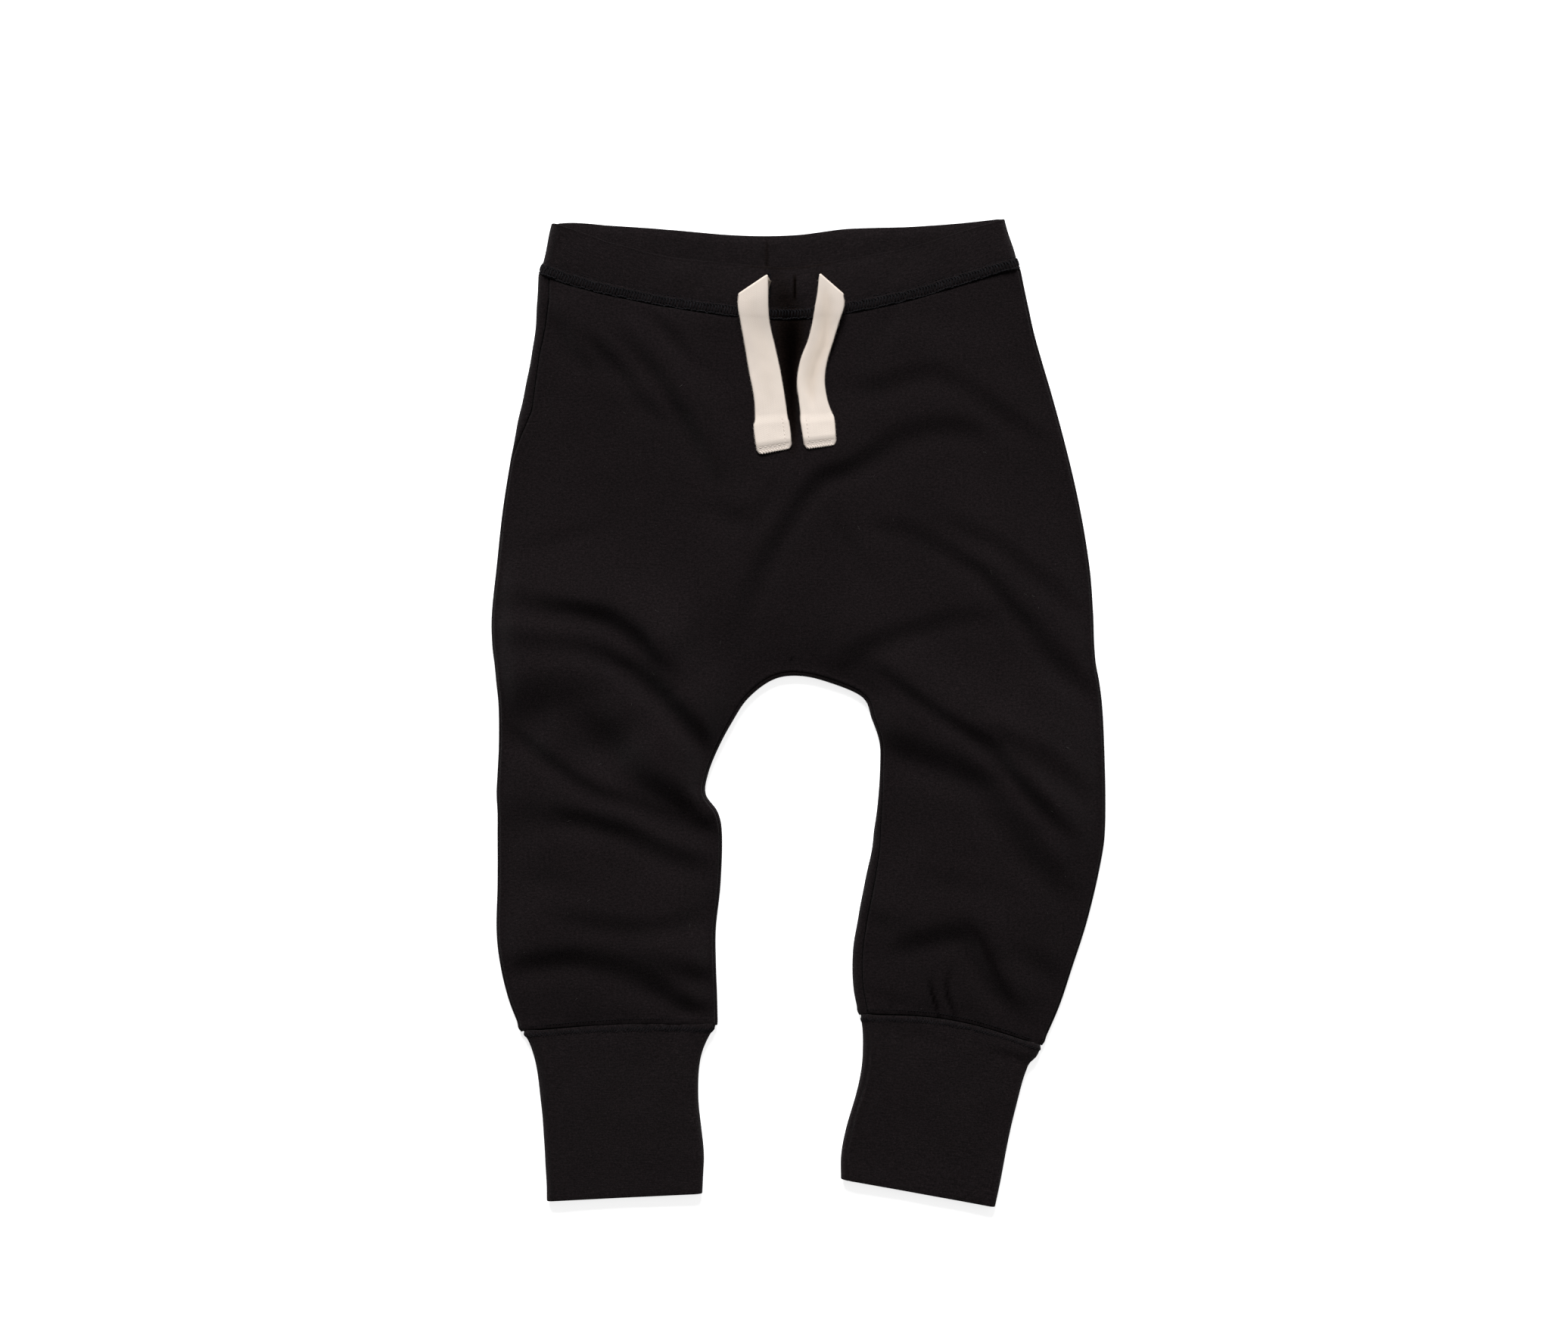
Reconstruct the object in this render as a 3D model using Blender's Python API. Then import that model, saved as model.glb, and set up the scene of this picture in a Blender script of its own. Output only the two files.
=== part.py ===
"""Baby sweatpants in soft black cotton knit, laid flat on their back.

Every piece that is cut and sewn is one closed solid: a front and a back with both legs each, a folded
waistband ring, two folded cuffs and the two free ends of a flat drawcord. All sizes below are in
millimetres. +X is the viewer's right, +Y points from the hems to the waist, +Z is up from the surface.
"""

import math
from collections import namedtuple

import bmesh
import bpy
import numpy as np

MM = 0.001

# ---------------------------------------------------------------- driving sizes

PANEL_WALL = 1.3        # front and back, one layer of sweat knit
BAND_WALL = 2.2         # waistband, folded double
CUFF_WALL = 2.0         # cuffs, folded double
TAPE_WALL = 1.4         # flat drawcord
TAPE_DOUBLE = 2.7       # drawcord where it is turned over and stitched down
SEAM_GAP = 0.3          # between pieces at a seam
LAY_GAP = 0.45          # under the drawcord

PANEL_ROLL = 2.3        # radius of the soft edge of the legs and hips
BAND_ROLL = 3.0         # radius of the waistband's side folds
CUFF_ROLL = 2.8         # radius of the cuffs' side folds
ROLL_STEPS = 2          # facets in a quarter turn of a soft edge

CENTRE_X = -1.6         # centre line of the body
APEX_Y = 15.5           # top of the arch between the legs

BODY_ROWS = 20          # rows of the grid from the waist seam to the arch
LEG_ROWS = 24           # rows from the arch to the cuff seam
FRONT_COLUMNS = 17      # columns of the front from a side edge to the centre or the inner leg
BACK_COLUMNS = 5
CUFF_ROWS = 8
CUFF_COLUMNS = 8
BAND_ROWS = 3           # rows of the waistband up to its folded edge
BAND_COLUMNS = 20
BAND_CROWDING = 0.35    # how much closer the waistband's columns stand at its side folds
TAPE_ROWS = 26
TAPE_COLUMNS = 3
CURVE_STEPS = 12        # steps from one point of an outline to the next, for lengths along it
TANGENT_REACH = 0.05    # part of such a step over which an edge's direction is taken
SHARP_ANGLE = 50.0      # degrees from which an edge is shaded as sharp

CLOTH_BLACK = (0.0098, 0.0080, 0.0084)
BAND_BLACK = (0.0105, 0.0086, 0.0090)
TAPE_CREAM = (0.78, 0.70, 0.60)
CLOTH_ROUGHNESS = 0.95
TAPE_ROUGHNESS = 0.9

# ---------------------------------------------------------------- outlines

# A section runs from a side edge (out) to the centre line or the inner leg (in). follow is how much
# of the waist seam's curve it has, bow how far its middle stands above its straight line.
Section = namedtuple("Section", "out_x out_y in_x in_y follow bow")

LEFT_SECTIONS = (
    Section(-109.7, 185.4, CENTRE_X, 165.6, 1.0, 0.0),
    Section(-110.4, 172.0, CENTRE_X, 151.0, 0.7, 0.0),
    Section(-111.7, 157.3, CENTRE_X, 137.0, 0.4, 0.0),
    Section(-116.2, 133.3, CENTRE_X, 117.0, 0.1, 0.0),
    Section(-121.0, 109.3, CENTRE_X, 97.0, 0.0, 0.0),
    Section(-124.8, 85.3, CENTRE_X, 76.0, 0.0, 0.0),
    Section(-127.4, 61.3, CENTRE_X, 55.0, 0.0, 0.0),
    Section(-129.4, 42.0, CENTRE_X, 37.5, 0.0, 0.0),
    Section(-129.3, 29.3, CENTRE_X, 25.5, 0.0, 0.0),
    Section(-128.2, 20.0, CENTRE_X, APEX_Y, 0.0, 0.0),
    Section(-127.5, 12.5, -11.8, 13.3, 0.0, 0.0),
    Section(-126.7, 5.0, -21.8, 5.3, 0.0, 0.0),
    Section(-126.4, -4.0, -28.5, -5.0, 0.0, 0.0),
    Section(-126.5, -15.0, -34.2, -15.8, 0.0, 0.0),
    Section(-127.0, -25.5, -38.2, -26.0, 0.0, 0.0),
    Section(-127.4, -34.0, -39.2, -34.4, 0.0, 0.0),
    Section(-127.0, -42.5, -34.0, -42.2, 0.0, 0.0),
    Section(-127.0, -52.0, -32.3, -52.0, 0.0, 0.0),
    Section(-127.0, -72.0, -32.9, -72.0, 0.0, 0.0),
    Section(-127.4, -92.0, -34.9, -91.0, 0.0, 0.0),
    Section(-125.8, -106.7, -34.9, -105.0, 0.0, 0.5),
    Section(-122.2, -121.5, -34.4, -119.0, 0.0, 1.0),
    Section(-117.2, -134.4, -33.9, -131.4, 0.0, 1.5),
)

RIGHT_SECTIONS = (
    Section(93.4, 187.3, CENTRE_X, 165.6, 1.0, 0.0),
    Section(96.8, 172.0, CENTRE_X, 151.0, 0.7, 0.0),
    Section(100.2, 157.3, CENTRE_X, 137.0, 0.4, 0.0),
    Section(107.2, 133.3, CENTRE_X, 117.0, 0.1, 0.0),
    Section(113.6, 109.3, CENTRE_X, 97.0, 0.0, 0.0),
    Section(119.0, 85.3, CENTRE_X, 76.0, 0.0, 0.0),
    Section(122.9, 61.3, CENTRE_X, 55.0, 0.0, 0.0),
    Section(124.4, 42.0, CENTRE_X, 37.5, 0.0, 0.0),
    Section(124.8, 30.0, CENTRE_X, 25.5, 0.0, 0.0),
    Section(125.5, 21.0, CENTRE_X, APEX_Y, 0.0, 0.0),
    Section(126.9, 13.5, 10.9, 13.3, 0.0, 0.0),
    Section(128.0, 5.3, 26.8, 6.6, 0.0, 0.0),
    Section(128.6, -2.7, 31.0, -2.7, 0.0, 0.0),
    Section(129.0, -12.0, 34.1, -12.0, 0.0, 0.0),
    Section(129.3, -21.0, 34.6, -20.5, 0.0, 0.0),
    Section(129.6, -36.0, 33.8, -35.0, 0.0, 0.0),
    Section(129.4, -50.0, 32.1, -49.0, 0.0, 0.0),
    Section(128.3, -59.5, 31.0, -58.0, 0.0, 0.0),
    Section(125.0, -75.5, 27.8, -73.0, 0.0, 0.5),
    Section(121.0, -91.0, 25.0, -87.5, 0.0, 1.0),
    Section(115.8, -107.0, 23.0, -102.0, 0.0, 2.0),
    Section(110.0, -124.5, 23.2, -116.0, 0.0, 3.0),
    Section(103.0, -140.4, 25.6, -127.2, 0.0, 4.0),
)

# The back is cut higher than the front along the centre, in its upper sections.
BACK_RISE = (12.9, 9.0, 5.0, 1.5)

# The waist from the left edge to the right: x at the seam, how far the top edge leans inwards from
# there, and the heights of the seams and of the folded edges. lift raises the front's folded edge.
Station = namedtuple("Station", "x lean front_seam front_top back_seam back_top lift")

WAIST = (
    Station(-109.3, 5.7, 185.7, 206.5, 185.7, 206.6, 0.0),
    Station(-99.0, 4.6, 180.8, 203.6, 184.6, 207.0, 1.2),
    Station(-84.0, 3.2, 176.7, 198.6, 183.1, 205.9, 1.6),
    Station(-58.0, 1.8, 171.4, 192.6, 181.0, 204.2, 0.8),
    Station(-26.0, 0.6, 166.9, 189.4, 179.0, 201.7, 0.2),
    Station(-1.6, 0.0, 165.6, 188.1, 178.5, 201.8, 0.0),
    Station(20.2, 0.0, 168.2, 191.7, 179.4, 204.5, 0.1),
    Station(48.5, -1.4, 174.1, 196.3, 181.9, 205.3, 0.5),
    Station(72.0, -3.4, 181.2, 203.0, 184.6, 206.8, 0.8),
    Station(93.2, -6.4, 187.8, 208.2, 187.8, 208.8, 0.0),
)

# A cuff from its seam down to its folded hem: its two side edges.
Cuff = namedtuple("Cuff", "left_x left_y right_x right_y bow")

LEFT_CUFF = (
    Cuff(-116.0, -134.9, -34.9, -131.9, 1.5),
    Cuff(-113.6, -139.4, -38.6, -138.0, 1.0),
    Cuff(-111.2, -146.5, -41.3, -145.5, 0.5),
    Cuff(-109.8, -155.0, -42.3, -155.0, 0.0),
    Cuff(-108.5, -167.0, -41.9, -167.0, 0.0),
    Cuff(-107.4, -182.0, -40.2, -182.0, 0.0),
    Cuff(-106.6, -195.0, -40.0, -193.5, 0.0),
    Cuff(-106.2, -206.3, -40.5, -203.0, 0.0),
)

RIGHT_CUFF = (
    Cuff(26.4, -127.7, 101.9, -140.6, 4.0),
    Cuff(27.0, -133.5, 100.3, -144.0, 3.0),
    Cuff(27.2, -140.5, 96.8, -149.8, 1.5),
    Cuff(26.6, -149.0, 94.3, -157.0, 0.5),
    Cuff(24.2, -161.0, 91.5, -168.0, 0.0),
    Cuff(20.3, -175.0, 88.8, -180.0, 0.0),
    Cuff(18.0, -187.0, 86.3, -192.5, 0.0),
    Cuff(17.9, -197.0, 83.0, -209.2, 0.0),
)

# The free ends of the drawcord, from the hole in the waistband to the stitched tab: both edges and
# the thickness. Each is turned over where it leaves its hole, so it starts double.
Tape = namedtuple("Tape", "left_x left_y right_x right_y wall")

LEFT_TAPE = (
    Tape(-14.6, 182.6, -11.9, 183.6, TAPE_DOUBLE),
    Tape(-20.0, 179.2, -12.2, 179.0, TAPE_DOUBLE),
    Tape(-25.1, 175.6, -12.7, 175.0, TAPE_DOUBLE),
    Tape(-25.5, 171.0, -12.6, 170.3, TAPE_WALL),
    Tape(-24.4, 164.5, -12.0, 163.8, TAPE_WALL),
    Tape(-22.6, 154.5, -9.9, 154.5, TAPE_WALL),
    Tape(-20.8, 143.6, -7.6, 144.0, TAPE_WALL),
    Tape(-18.8, 133.0, -5.8, 133.5, TAPE_WALL),
    Tape(-18.3, 124.0, -4.6, 125.0, TAPE_WALL),
    Tape(-19.0, 121.2, -3.8, 122.6, TAPE_DOUBLE),
    Tape(-18.3, 115.0, -3.2, 117.0, TAPE_DOUBLE),
    Tape(-17.3, 108.7, -2.8, 111.4, TAPE_DOUBLE),
)

RIGHT_TAPE = (
    Tape(8.7, 182.8, 10.6, 183.6, TAPE_DOUBLE),
    Tape(8.5, 179.6, 14.6, 179.4, TAPE_DOUBLE),
    Tape(7.9, 176.0, 18.8, 175.6, TAPE_DOUBLE),
    Tape(7.0, 171.2, 19.2, 171.2, TAPE_WALL),
    Tape(5.9, 164.5, 17.2, 164.5, TAPE_WALL),
    Tape(4.0, 157.0, 14.7, 156.5, TAPE_WALL),
    Tape(0.8, 148.5, 12.1, 148.0, TAPE_WALL),
    Tape(-0.6, 139.5, 11.1, 140.0, TAPE_WALL),
    Tape(0.2, 131.4, 12.1, 132.4, TAPE_WALL),
    Tape(0.8, 125.8, 13.9, 126.6, TAPE_WALL),
    Tape(0.8, 123.4, 15.3, 124.0, TAPE_DOUBLE),
    Tape(2.7, 111.0, 16.0, 112.8, TAPE_DOUBLE),
)

# ---------------------------------------------------------------- folds of the front

# A fold runs from (x0, y0) to (x1, y1), bent by bend to its left. Its crest stands on its left side
# at about width from the line, by height, and its trough lies on the right side.
Fold = namedtuple("Fold", "name x0 y0 x1 y1 bend height width")

FOLDS = (
    Fold("crotch_to_right_hip", -24.0, 34.0, 76.0, 122.0, 27.0, 4.2, 8.0),
    Fold("right_hip_upper", 27.0, 138.0, 100.0, 116.0, 15.0, 1.8, 8.0),
    Fold("right_thigh_long", 27.0, 81.0, 122.0, 14.0, 12.0, 3.4, 8.0),
    Fold("right_thigh_outer", 65.0, 87.0, 118.0, 43.0, 4.0, 2.0, 6.0),
    Fold("right_groin_short", 21.0, 25.0, 80.0, 44.5, 4.0, 2.4, 6.5),
    Fold("right_knee_long", 16.0, 21.0, 118.0, -56.0, 13.0, 4.0, 7.5),
    Fold("right_knee_branch", 83.0, -9.0, 120.0, -31.0, 2.0, 1.8, 6.0),
    Fold("right_knee_inner", 35.0, -15.0, 79.0, -25.0, 2.0, 3.8, 6.5),
    Fold("right_knee_lower", 74.0, -24.0, 113.0, -75.0, 6.0, 2.2, 7.0),
    Fold("right_calf_crown", 36.0, -92.0, 78.0, -93.0, 2.0, 3.2, 6.0),
    Fold("right_calf_drop", 72.0, -91.0, 93.0, -124.0, 4.0, 3.0, 5.5),
    Fold("left_thigh_upper", -125.0, 49.0, -54.0, 19.5, 11.5, 4.4, 8.0),
    Fold("left_thigh_lower", -125.0, 31.0, -40.0, -10.0, 14.5, 3.4, 7.0),
    Fold("left_thigh_hollow", -122.0, 4.0, -84.0, -2.0, 6.0, 2.4, 8.5),
    Fold("left_knee_notch", -70.0, -18.0, -35.0, -46.0, -2.0, 4.2, 7.5),
    Fold("left_knee_long", -119.0, -10.0, -40.0, -51.0, -5.0, 2.6, 6.0),
    Fold("left_knee_lower", -99.0, -43.0, -38.0, -62.5, 2.0, 3.8, 6.5),
    Fold("left_calf_faint", -100.0, -85.0, -38.0, -85.5, -3.0, 1.6, 7.0),
    Fold("left_calf_low", -124.0, -105.0, -38.0, -125.5, 11.0, 4.2, 7.0),
    Fold("left_hip_short", -88.0, 160.0, -60.0, 130.5, 0.0, 1.3, 6.0),
    Fold("left_hip_long", -81.0, 163.0, -35.0, 101.0, 6.0, 1.7, 6.0),
    Fold("left_hip_side", -125.0, 69.0, -86.0, 78.0, 2.0, 1.2, 7.0),
)

TROUGH_SHARE = 0.45     # depth of a fold's trough, as a share of its crest
TROUGH_PLACE = 0.7      # widths from the line to the trough, on its right
TROUGH_WIDTH = 0.8      # width of the trough, as a share of the crest's
FADE_FROM = 0.36        # share of the length from a fold's middle at which it starts to fade
FADE_OVER = 0.11        # share of the length over which it fades
FOLD_BEYOND = 0.25      # share of the length past its ends at which it's gone

# How far the front stands above its edges, down the garment.
RISE = ((210.0, 0.2), (160.0, 0.4), (100.0, 1.4), (40.0, 2.2), (-40.0, 2.6), (-100.0, 2.2), (-145.0, 0.9))
RISE_REACH = 16.0       # distance from an edge over which the rise comes in
FOLD_EDGE_SHARE = 0.3   # share of a fold's height that is left at an edge
FOLD_EDGE_REACH = 12.0
FRONT_LOWEST = 3.3      # top of the front where it lies on the back
SOFT_LANDING = 0.6      # how softly the troughs come down to that

BAND_HEIGHT = 22.0      # from the waist seam to the folded edge
BAND_TOP = 5.2          # top of the waistband's front
BAND_BULGE = 0.6        # by which its middle stands above its seam
CUFF_TOP = 5.0
CUFF_BULGE = 0.5
CUFF_BULGE_END = 0.98   # share of a cuff's length up to which the bulge is read
SIDE_FOLD_REACH = 9.0   # distance over which a side fold's thickness settles

# A folded edge seen from its end: distance back from the fold, and the share of the wall that is
# rounded away there on each side.
FOLDED_EDGE = ((1.2, 0.0), (0.35, 0.16), (0.0, 0.36))


# ---------------------------------------------------------------- curves

def spline(points, t):
    """A point on the smooth curve through points, t counting the points from 0."""
    last = len(points) - 1
    i = min(int(t), last - 1)
    f = t - i
    b = np.array(points[i], float)
    c = np.array(points[i + 1], float)
    a = np.array(points[i - 1], float) if i > 0 else 2.0 * b - c
    d = np.array(points[i + 2], float) if i + 2 <= last else 2.0 * c - b
    bend = 2.0 * b + (c - a) * f + (2.0 * a - 5.0 * b + 4.0 * c - d) * f * f
    return 0.5 * (bend + (3.0 * b - a - 3.0 * c + d) * f ** 3)


def even_steps(points, first, last, count):
    """Curve parameters between two of the points that cut the curve into even lengths."""
    fine = np.linspace(first, last, CURVE_STEPS * (last - first) + 1)
    places = np.array([spline(points, t)[:2] for t in fine])
    lengths = np.concatenate(([0.0], np.cumsum(np.linalg.norm(np.diff(places, axis=0), axis=1))))
    return np.interp(np.linspace(0.0, lengths[-1], count + 1), lengths, fine)


def waist_at(x):
    """The waist's station at x, from the smooth curve through its stations."""
    xs = [s.x for s in WAIST]
    t = float(np.interp(x, xs, range(len(xs))))
    return Station(*spline(WAIST, t))


def from_stations(column, x):
    """One height of the waist at x."""
    return float(getattr(waist_at(x), column))


def unit(vector):
    """The vector at length 1."""
    return vector / max(np.linalg.norm(vector), 1e-9)


def turned(vector, clockwise):
    """The vector turned by a quarter turn."""
    return np.array([vector[1], -vector[0]]) if clockwise else np.array([-vector[1], vector[0]])


# ---------------------------------------------------------------- the two halves of a panel

Row = namedtuple("Row", "out out_normal inner inner_normal follow bow")


def half_rows(sections, other_sections, left, back):
    """The rows of one half, from the waist seam to the cuff seam. Row BODY_ROWS ends at the arch's top."""
    apex = next(i for i, s in enumerate(sections) if s.in_y == APEX_Y)
    sections = list(sections)
    if back:
        for i, rise in enumerate(BACK_RISE):
            s = sections[i]
            sections[i] = s._replace(in_y=s.in_y + rise)
    outer = [(s.out_x, s.out_y) for s in sections]
    centre = [(s.in_x, s.in_y) for s in sections[:apex + 1]]
    across = other_sections[apex + 1]
    arch = [(across.in_x, across.in_y)] + [(s.in_x, s.in_y) for s in sections[apex:]]
    extra = [(s.follow, s.bow) for s in sections]
    steps = list(even_steps(outer, 0, apex, BODY_ROWS))
    leg_steps = even_steps(arch, 1, len(arch) - 1, LEG_ROWS) + (apex - 1)
    steps += list(leg_steps[1:])
    rows = []
    for number, t in enumerate(steps):
        below = number >= BODY_ROWS
        out = spline(outer, t)
        ahead, behind = min(t + TANGENT_REACH, len(outer) - 1), max(t - TANGENT_REACH, 0)
        out_along = unit(spline(outer, ahead) - spline(outer, behind))
        inner = spline(arch, t - apex + 1) if below else spline(centre, t)
        inner_normal = None
        if number == BODY_ROWS:
            inner_normal = np.array([0.0, -1.0])
        elif below:
            s = t - apex + 1
            ahead, behind = min(s + TANGENT_REACH, len(arch) - 1), s - TANGENT_REACH
            along = unit(spline(arch, ahead) - spline(arch, behind))
            inner_normal = turned(along, clockwise=not left)
        follow, bow = spline(extra, t)
        rows.append(Row(out, turned(out_along, clockwise=left), inner, inner_normal, follow, bow))
    return rows


def outline_of_front():
    """The silhouette's edges, as short pieces: both sides and the arch with the inner legs."""
    left = half_rows(LEFT_SECTIONS, RIGHT_SECTIONS, True, False)
    right = half_rows(RIGHT_SECTIONS, LEFT_SECTIONS, False, False)
    chains = [[r.out for r in left], [r.out for r in right]]
    chains.append([r.inner for r in left[:BODY_ROWS - 1:-1]] + [r.inner for r in right[BODY_ROWS + 1:]])
    return chains


OUTLINE = outline_of_front()


def edge_distance(x, y):
    """Distance from (x, y) to the nearest edge of the silhouette."""
    point = np.array([x, y])
    best = 1e9
    for chain in OUTLINE:
        a = np.array(chain[:-1])
        b = np.array(chain[1:])
        along = b - a
        share = np.clip(((point - a) * along).sum(1) / (along ** 2).sum(1), 0.0, 1.0)
        gaps = np.linalg.norm(a + along * share[:, None] - point, axis=1)
        best = min(best, float(gaps.min()))
    return best


# ---------------------------------------------------------------- heights

def fold_height(fold, x, y):
    """What one fold adds at (x, y)."""
    along = np.array([fold.x1 - fold.x0, fold.y1 - fold.y0])
    length = np.linalg.norm(along)
    along = along / length
    offset = np.array([x - fold.x0, y - fold.y0])
    share = float(offset @ along) / length
    if share < -FOLD_BEYOND or share > 1.0 + FOLD_BEYOND:
        return 0.0
    inside = min(max(share, 0.0), 1.0)
    side = float(offset @ turned(along, clockwise=False)) - 4.0 * fold.bend * inside * (1.0 - inside)
    crest = math.exp(-((side / fold.width - 1.0) ** 2))
    trough = TROUGH_SHARE * math.exp(-(((side / fold.width + TROUGH_PLACE) / TROUGH_WIDTH) ** 2))
    ends = math.exp(-(max(abs(share - 0.5) - FADE_FROM, 0.0) / FADE_OVER) ** 2)
    return fold.height * (crest - trough) * ends


def front_top(x, y):
    """Height of the front's upper face above the surface."""
    edge = edge_distance(x, y)
    rise = float(np.interp(-y, [-r[0] for r in RISE], [r[1] for r in RISE]))
    rise *= 1.0 - math.exp(-((edge / RISE_REACH) ** 2))
    folds = sum(fold_height(f, x, y) for f in FOLDS)
    folds *= FOLD_EDGE_SHARE + (1.0 - FOLD_EDGE_SHARE) * (1.0 - math.exp(-((edge / FOLD_EDGE_REACH) ** 2)))
    height = 2.0 * PANEL_ROLL + rise + folds
    spare = height - FRONT_LOWEST
    return FRONT_LOWEST + 0.5 * (spare + math.sqrt(spare * spare + SOFT_LANDING))


def band_top(x, y, lift):
    """Height of the upper face of the waistband's front."""
    seam = from_stations("front_seam", x)
    share = min(max((y - seam) / (from_stations("front_top", x) - seam), 0.0), 1.0)
    side = min(x - WAIST[0].x, WAIST[-1].x - x)
    height = BAND_TOP + BAND_BULGE * math.sin(math.pi * share) + lift * share ** 2
    settle = math.exp(-((side / SIDE_FOLD_REACH) ** 2))
    return height + (2.0 * BAND_ROLL - height) * settle


# ---------------------------------------------------------------- closed walls

def add_wall(name, outer, inner, quads, colour, roughness=CLOTH_ROUGHNESS):
    """One closed solid between two matching faces of points, as an object with its own material."""
    count = len(outer)
    used = {}
    for quad in quads:
        for a, b in zip(quad, quad[1:] + quad[:1]):
            used.setdefault(frozenset((a, b)), []).append((a, b))
    faces = [tuple(q) for q in quads]
    faces += [tuple(count + i for i in reversed(q)) for q in quads]
    for ways in used.values():
        if len(ways) == 1:
            a, b = ways[0]
            faces.append((b, a, count + a, count + b))
    mesh = bpy.data.meshes.new(name)
    mesh.from_pydata([tuple(MM * v for v in p) for p in list(outer) + list(inner)], [], faces)
    body = bmesh.new()
    body.from_mesh(mesh)
    bmesh.ops.recalc_face_normals(body, faces=body.faces)
    bmesh.ops.triangulate(body, faces=body.faces)
    body.to_mesh(mesh)
    body.free()
    mesh.shade_smooth()
    mesh.set_sharp_from_angle(angle=math.radians(SHARP_ANGLE))
    mesh.materials.append(make_material(name, colour, roughness))
    built = bpy.data.objects.new(name, mesh)
    bpy.context.scene.collection.objects.link(built)
    return built


def make_material(name, colour, roughness):
    """A plain cloth material."""
    material = bpy.data.materials.new(name)
    material.use_nodes = True
    shader = material.node_tree.nodes["Principled BSDF"]
    shader.inputs["Base Color"].default_value = (*colour, 1.0)
    shader.inputs["Roughness"].default_value = roughness
    shader.inputs["Metallic"].default_value = 0.0
    return material


def grid_quads(rows, columns, number):
    """Quads of a grid whose point (row, column) has the index number(row, column)."""
    quads = []
    for r in range(rows - 1):
        for c in range(columns - 1):
            quads.append([number(r, c), number(r, c + 1), number(r + 1, c + 1), number(r + 1, c)])
    return quads


# ---------------------------------------------------------------- front and back

def row_ends(row):
    """The ends of a row's level part, one roll inside the silhouette."""
    start = row.out - row.out_normal * PANEL_ROLL
    end = row.inner if row.inner_normal is None else row.inner - row.inner_normal * PANEL_ROLL
    return start, end


def waist_dip(seam_column, top_row, x):
    """How far the waist seam is at x from the straight line across the top of a half panel."""
    start, end = row_ends(top_row)
    straight = start[1] + (end[1] - start[1]) * (x - start[0]) / (end[0] - start[0])
    return from_stations(seam_column, x) - SEAM_GAP / 2 - straight


def add_panel(name, back, columns):
    """The front or the back: both legs in one wall, its edges rolled to meet the other one."""
    middle = PANEL_ROLL
    seam_column = "back_seam" if back else "front_seam"
    keys = {}
    outer = []
    inner = []

    def place(key, plan, normal, turn, follow, top_row):
        """Add the two points of the wall at a plan point, turned by turn degrees over its edge."""
        if key in keys:
            return
        reach = math.sin(math.radians(turn))
        level = math.cos(math.radians(turn))
        out_plan = plan + normal * PANEL_ROLL * reach
        in_plan = plan + normal * (PANEL_ROLL - PANEL_WALL) * reach
        if back:
            out_z = middle - middle * level
            in_z = middle - (middle - PANEL_WALL) * level
            meets = [min(z, middle - SEAM_GAP / 2) for z in (out_z, in_z)]
        else:
            top = front_top(*plan)
            out_z = middle + (top - middle) * level
            in_z = middle + (top - PANEL_WALL - middle) * level
            meets = [max(z, middle + SEAM_GAP / 2) for z in (out_z, in_z)]
        if turn > 0.0:
            out_z, in_z = meets
        keys[key] = len(outer)
        for points, at, z in ((outer, out_plan, out_z), (inner, in_plan, in_z)):
            dip = follow * waist_dip(seam_column, top_row, at[0]) if follow > 0.0 else 0.0
            points.append((at[0], at[1] + dip, z))

    quads = []
    for left in (True, False):
        own, other = (LEFT_SECTIONS, RIGHT_SECTIONS) if left else (RIGHT_SECTIONS, LEFT_SECTIONS)
        rows = half_rows(own, other, left, back)
        grid = {}
        for r, row in enumerate(rows):
            start, end = row_ends(row)
            open_side = row.inner_normal is not None
            for step in range(ROLL_STEPS, 0, -1):
                key = (r, -step, left)
                place(key, start, row.out_normal, 90.0 * step / ROLL_STEPS, row.follow, rows[0])
                grid[r, -step] = keys[key]
            for c in range(columns + 1):
                share = c / columns
                plan = start + (end - start) * share + [0.0, row.bow * math.sin(math.pi * share)]
                key = (r, c, "middle" if r <= BODY_ROWS and c == columns else left)
                place(key, plan, np.zeros(2), 0.0, row.follow, rows[0])
                grid[r, c] = keys[key]
            if open_side:
                for step in range(1, ROLL_STEPS + 1):
                    key = (r, columns + step, "middle" if r == BODY_ROWS else left)
                    place(key, end, row.inner_normal, 90.0 * step / ROLL_STEPS, 0.0, rows[0])
                    grid[r, columns + step] = keys[key]
        for r, c in grid:
            corners = ((r, c), (r, c + 1), (r + 1, c + 1), (r + 1, c))
            if all(corner in grid for corner in corners):
                quads.append([grid[corner] for corner in corners])
                if not left:
                    quads[-1].reverse()
    add_wall(name, outer, inner, quads, CLOTH_BLACK)


# ---------------------------------------------------------------- folded rings

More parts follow.
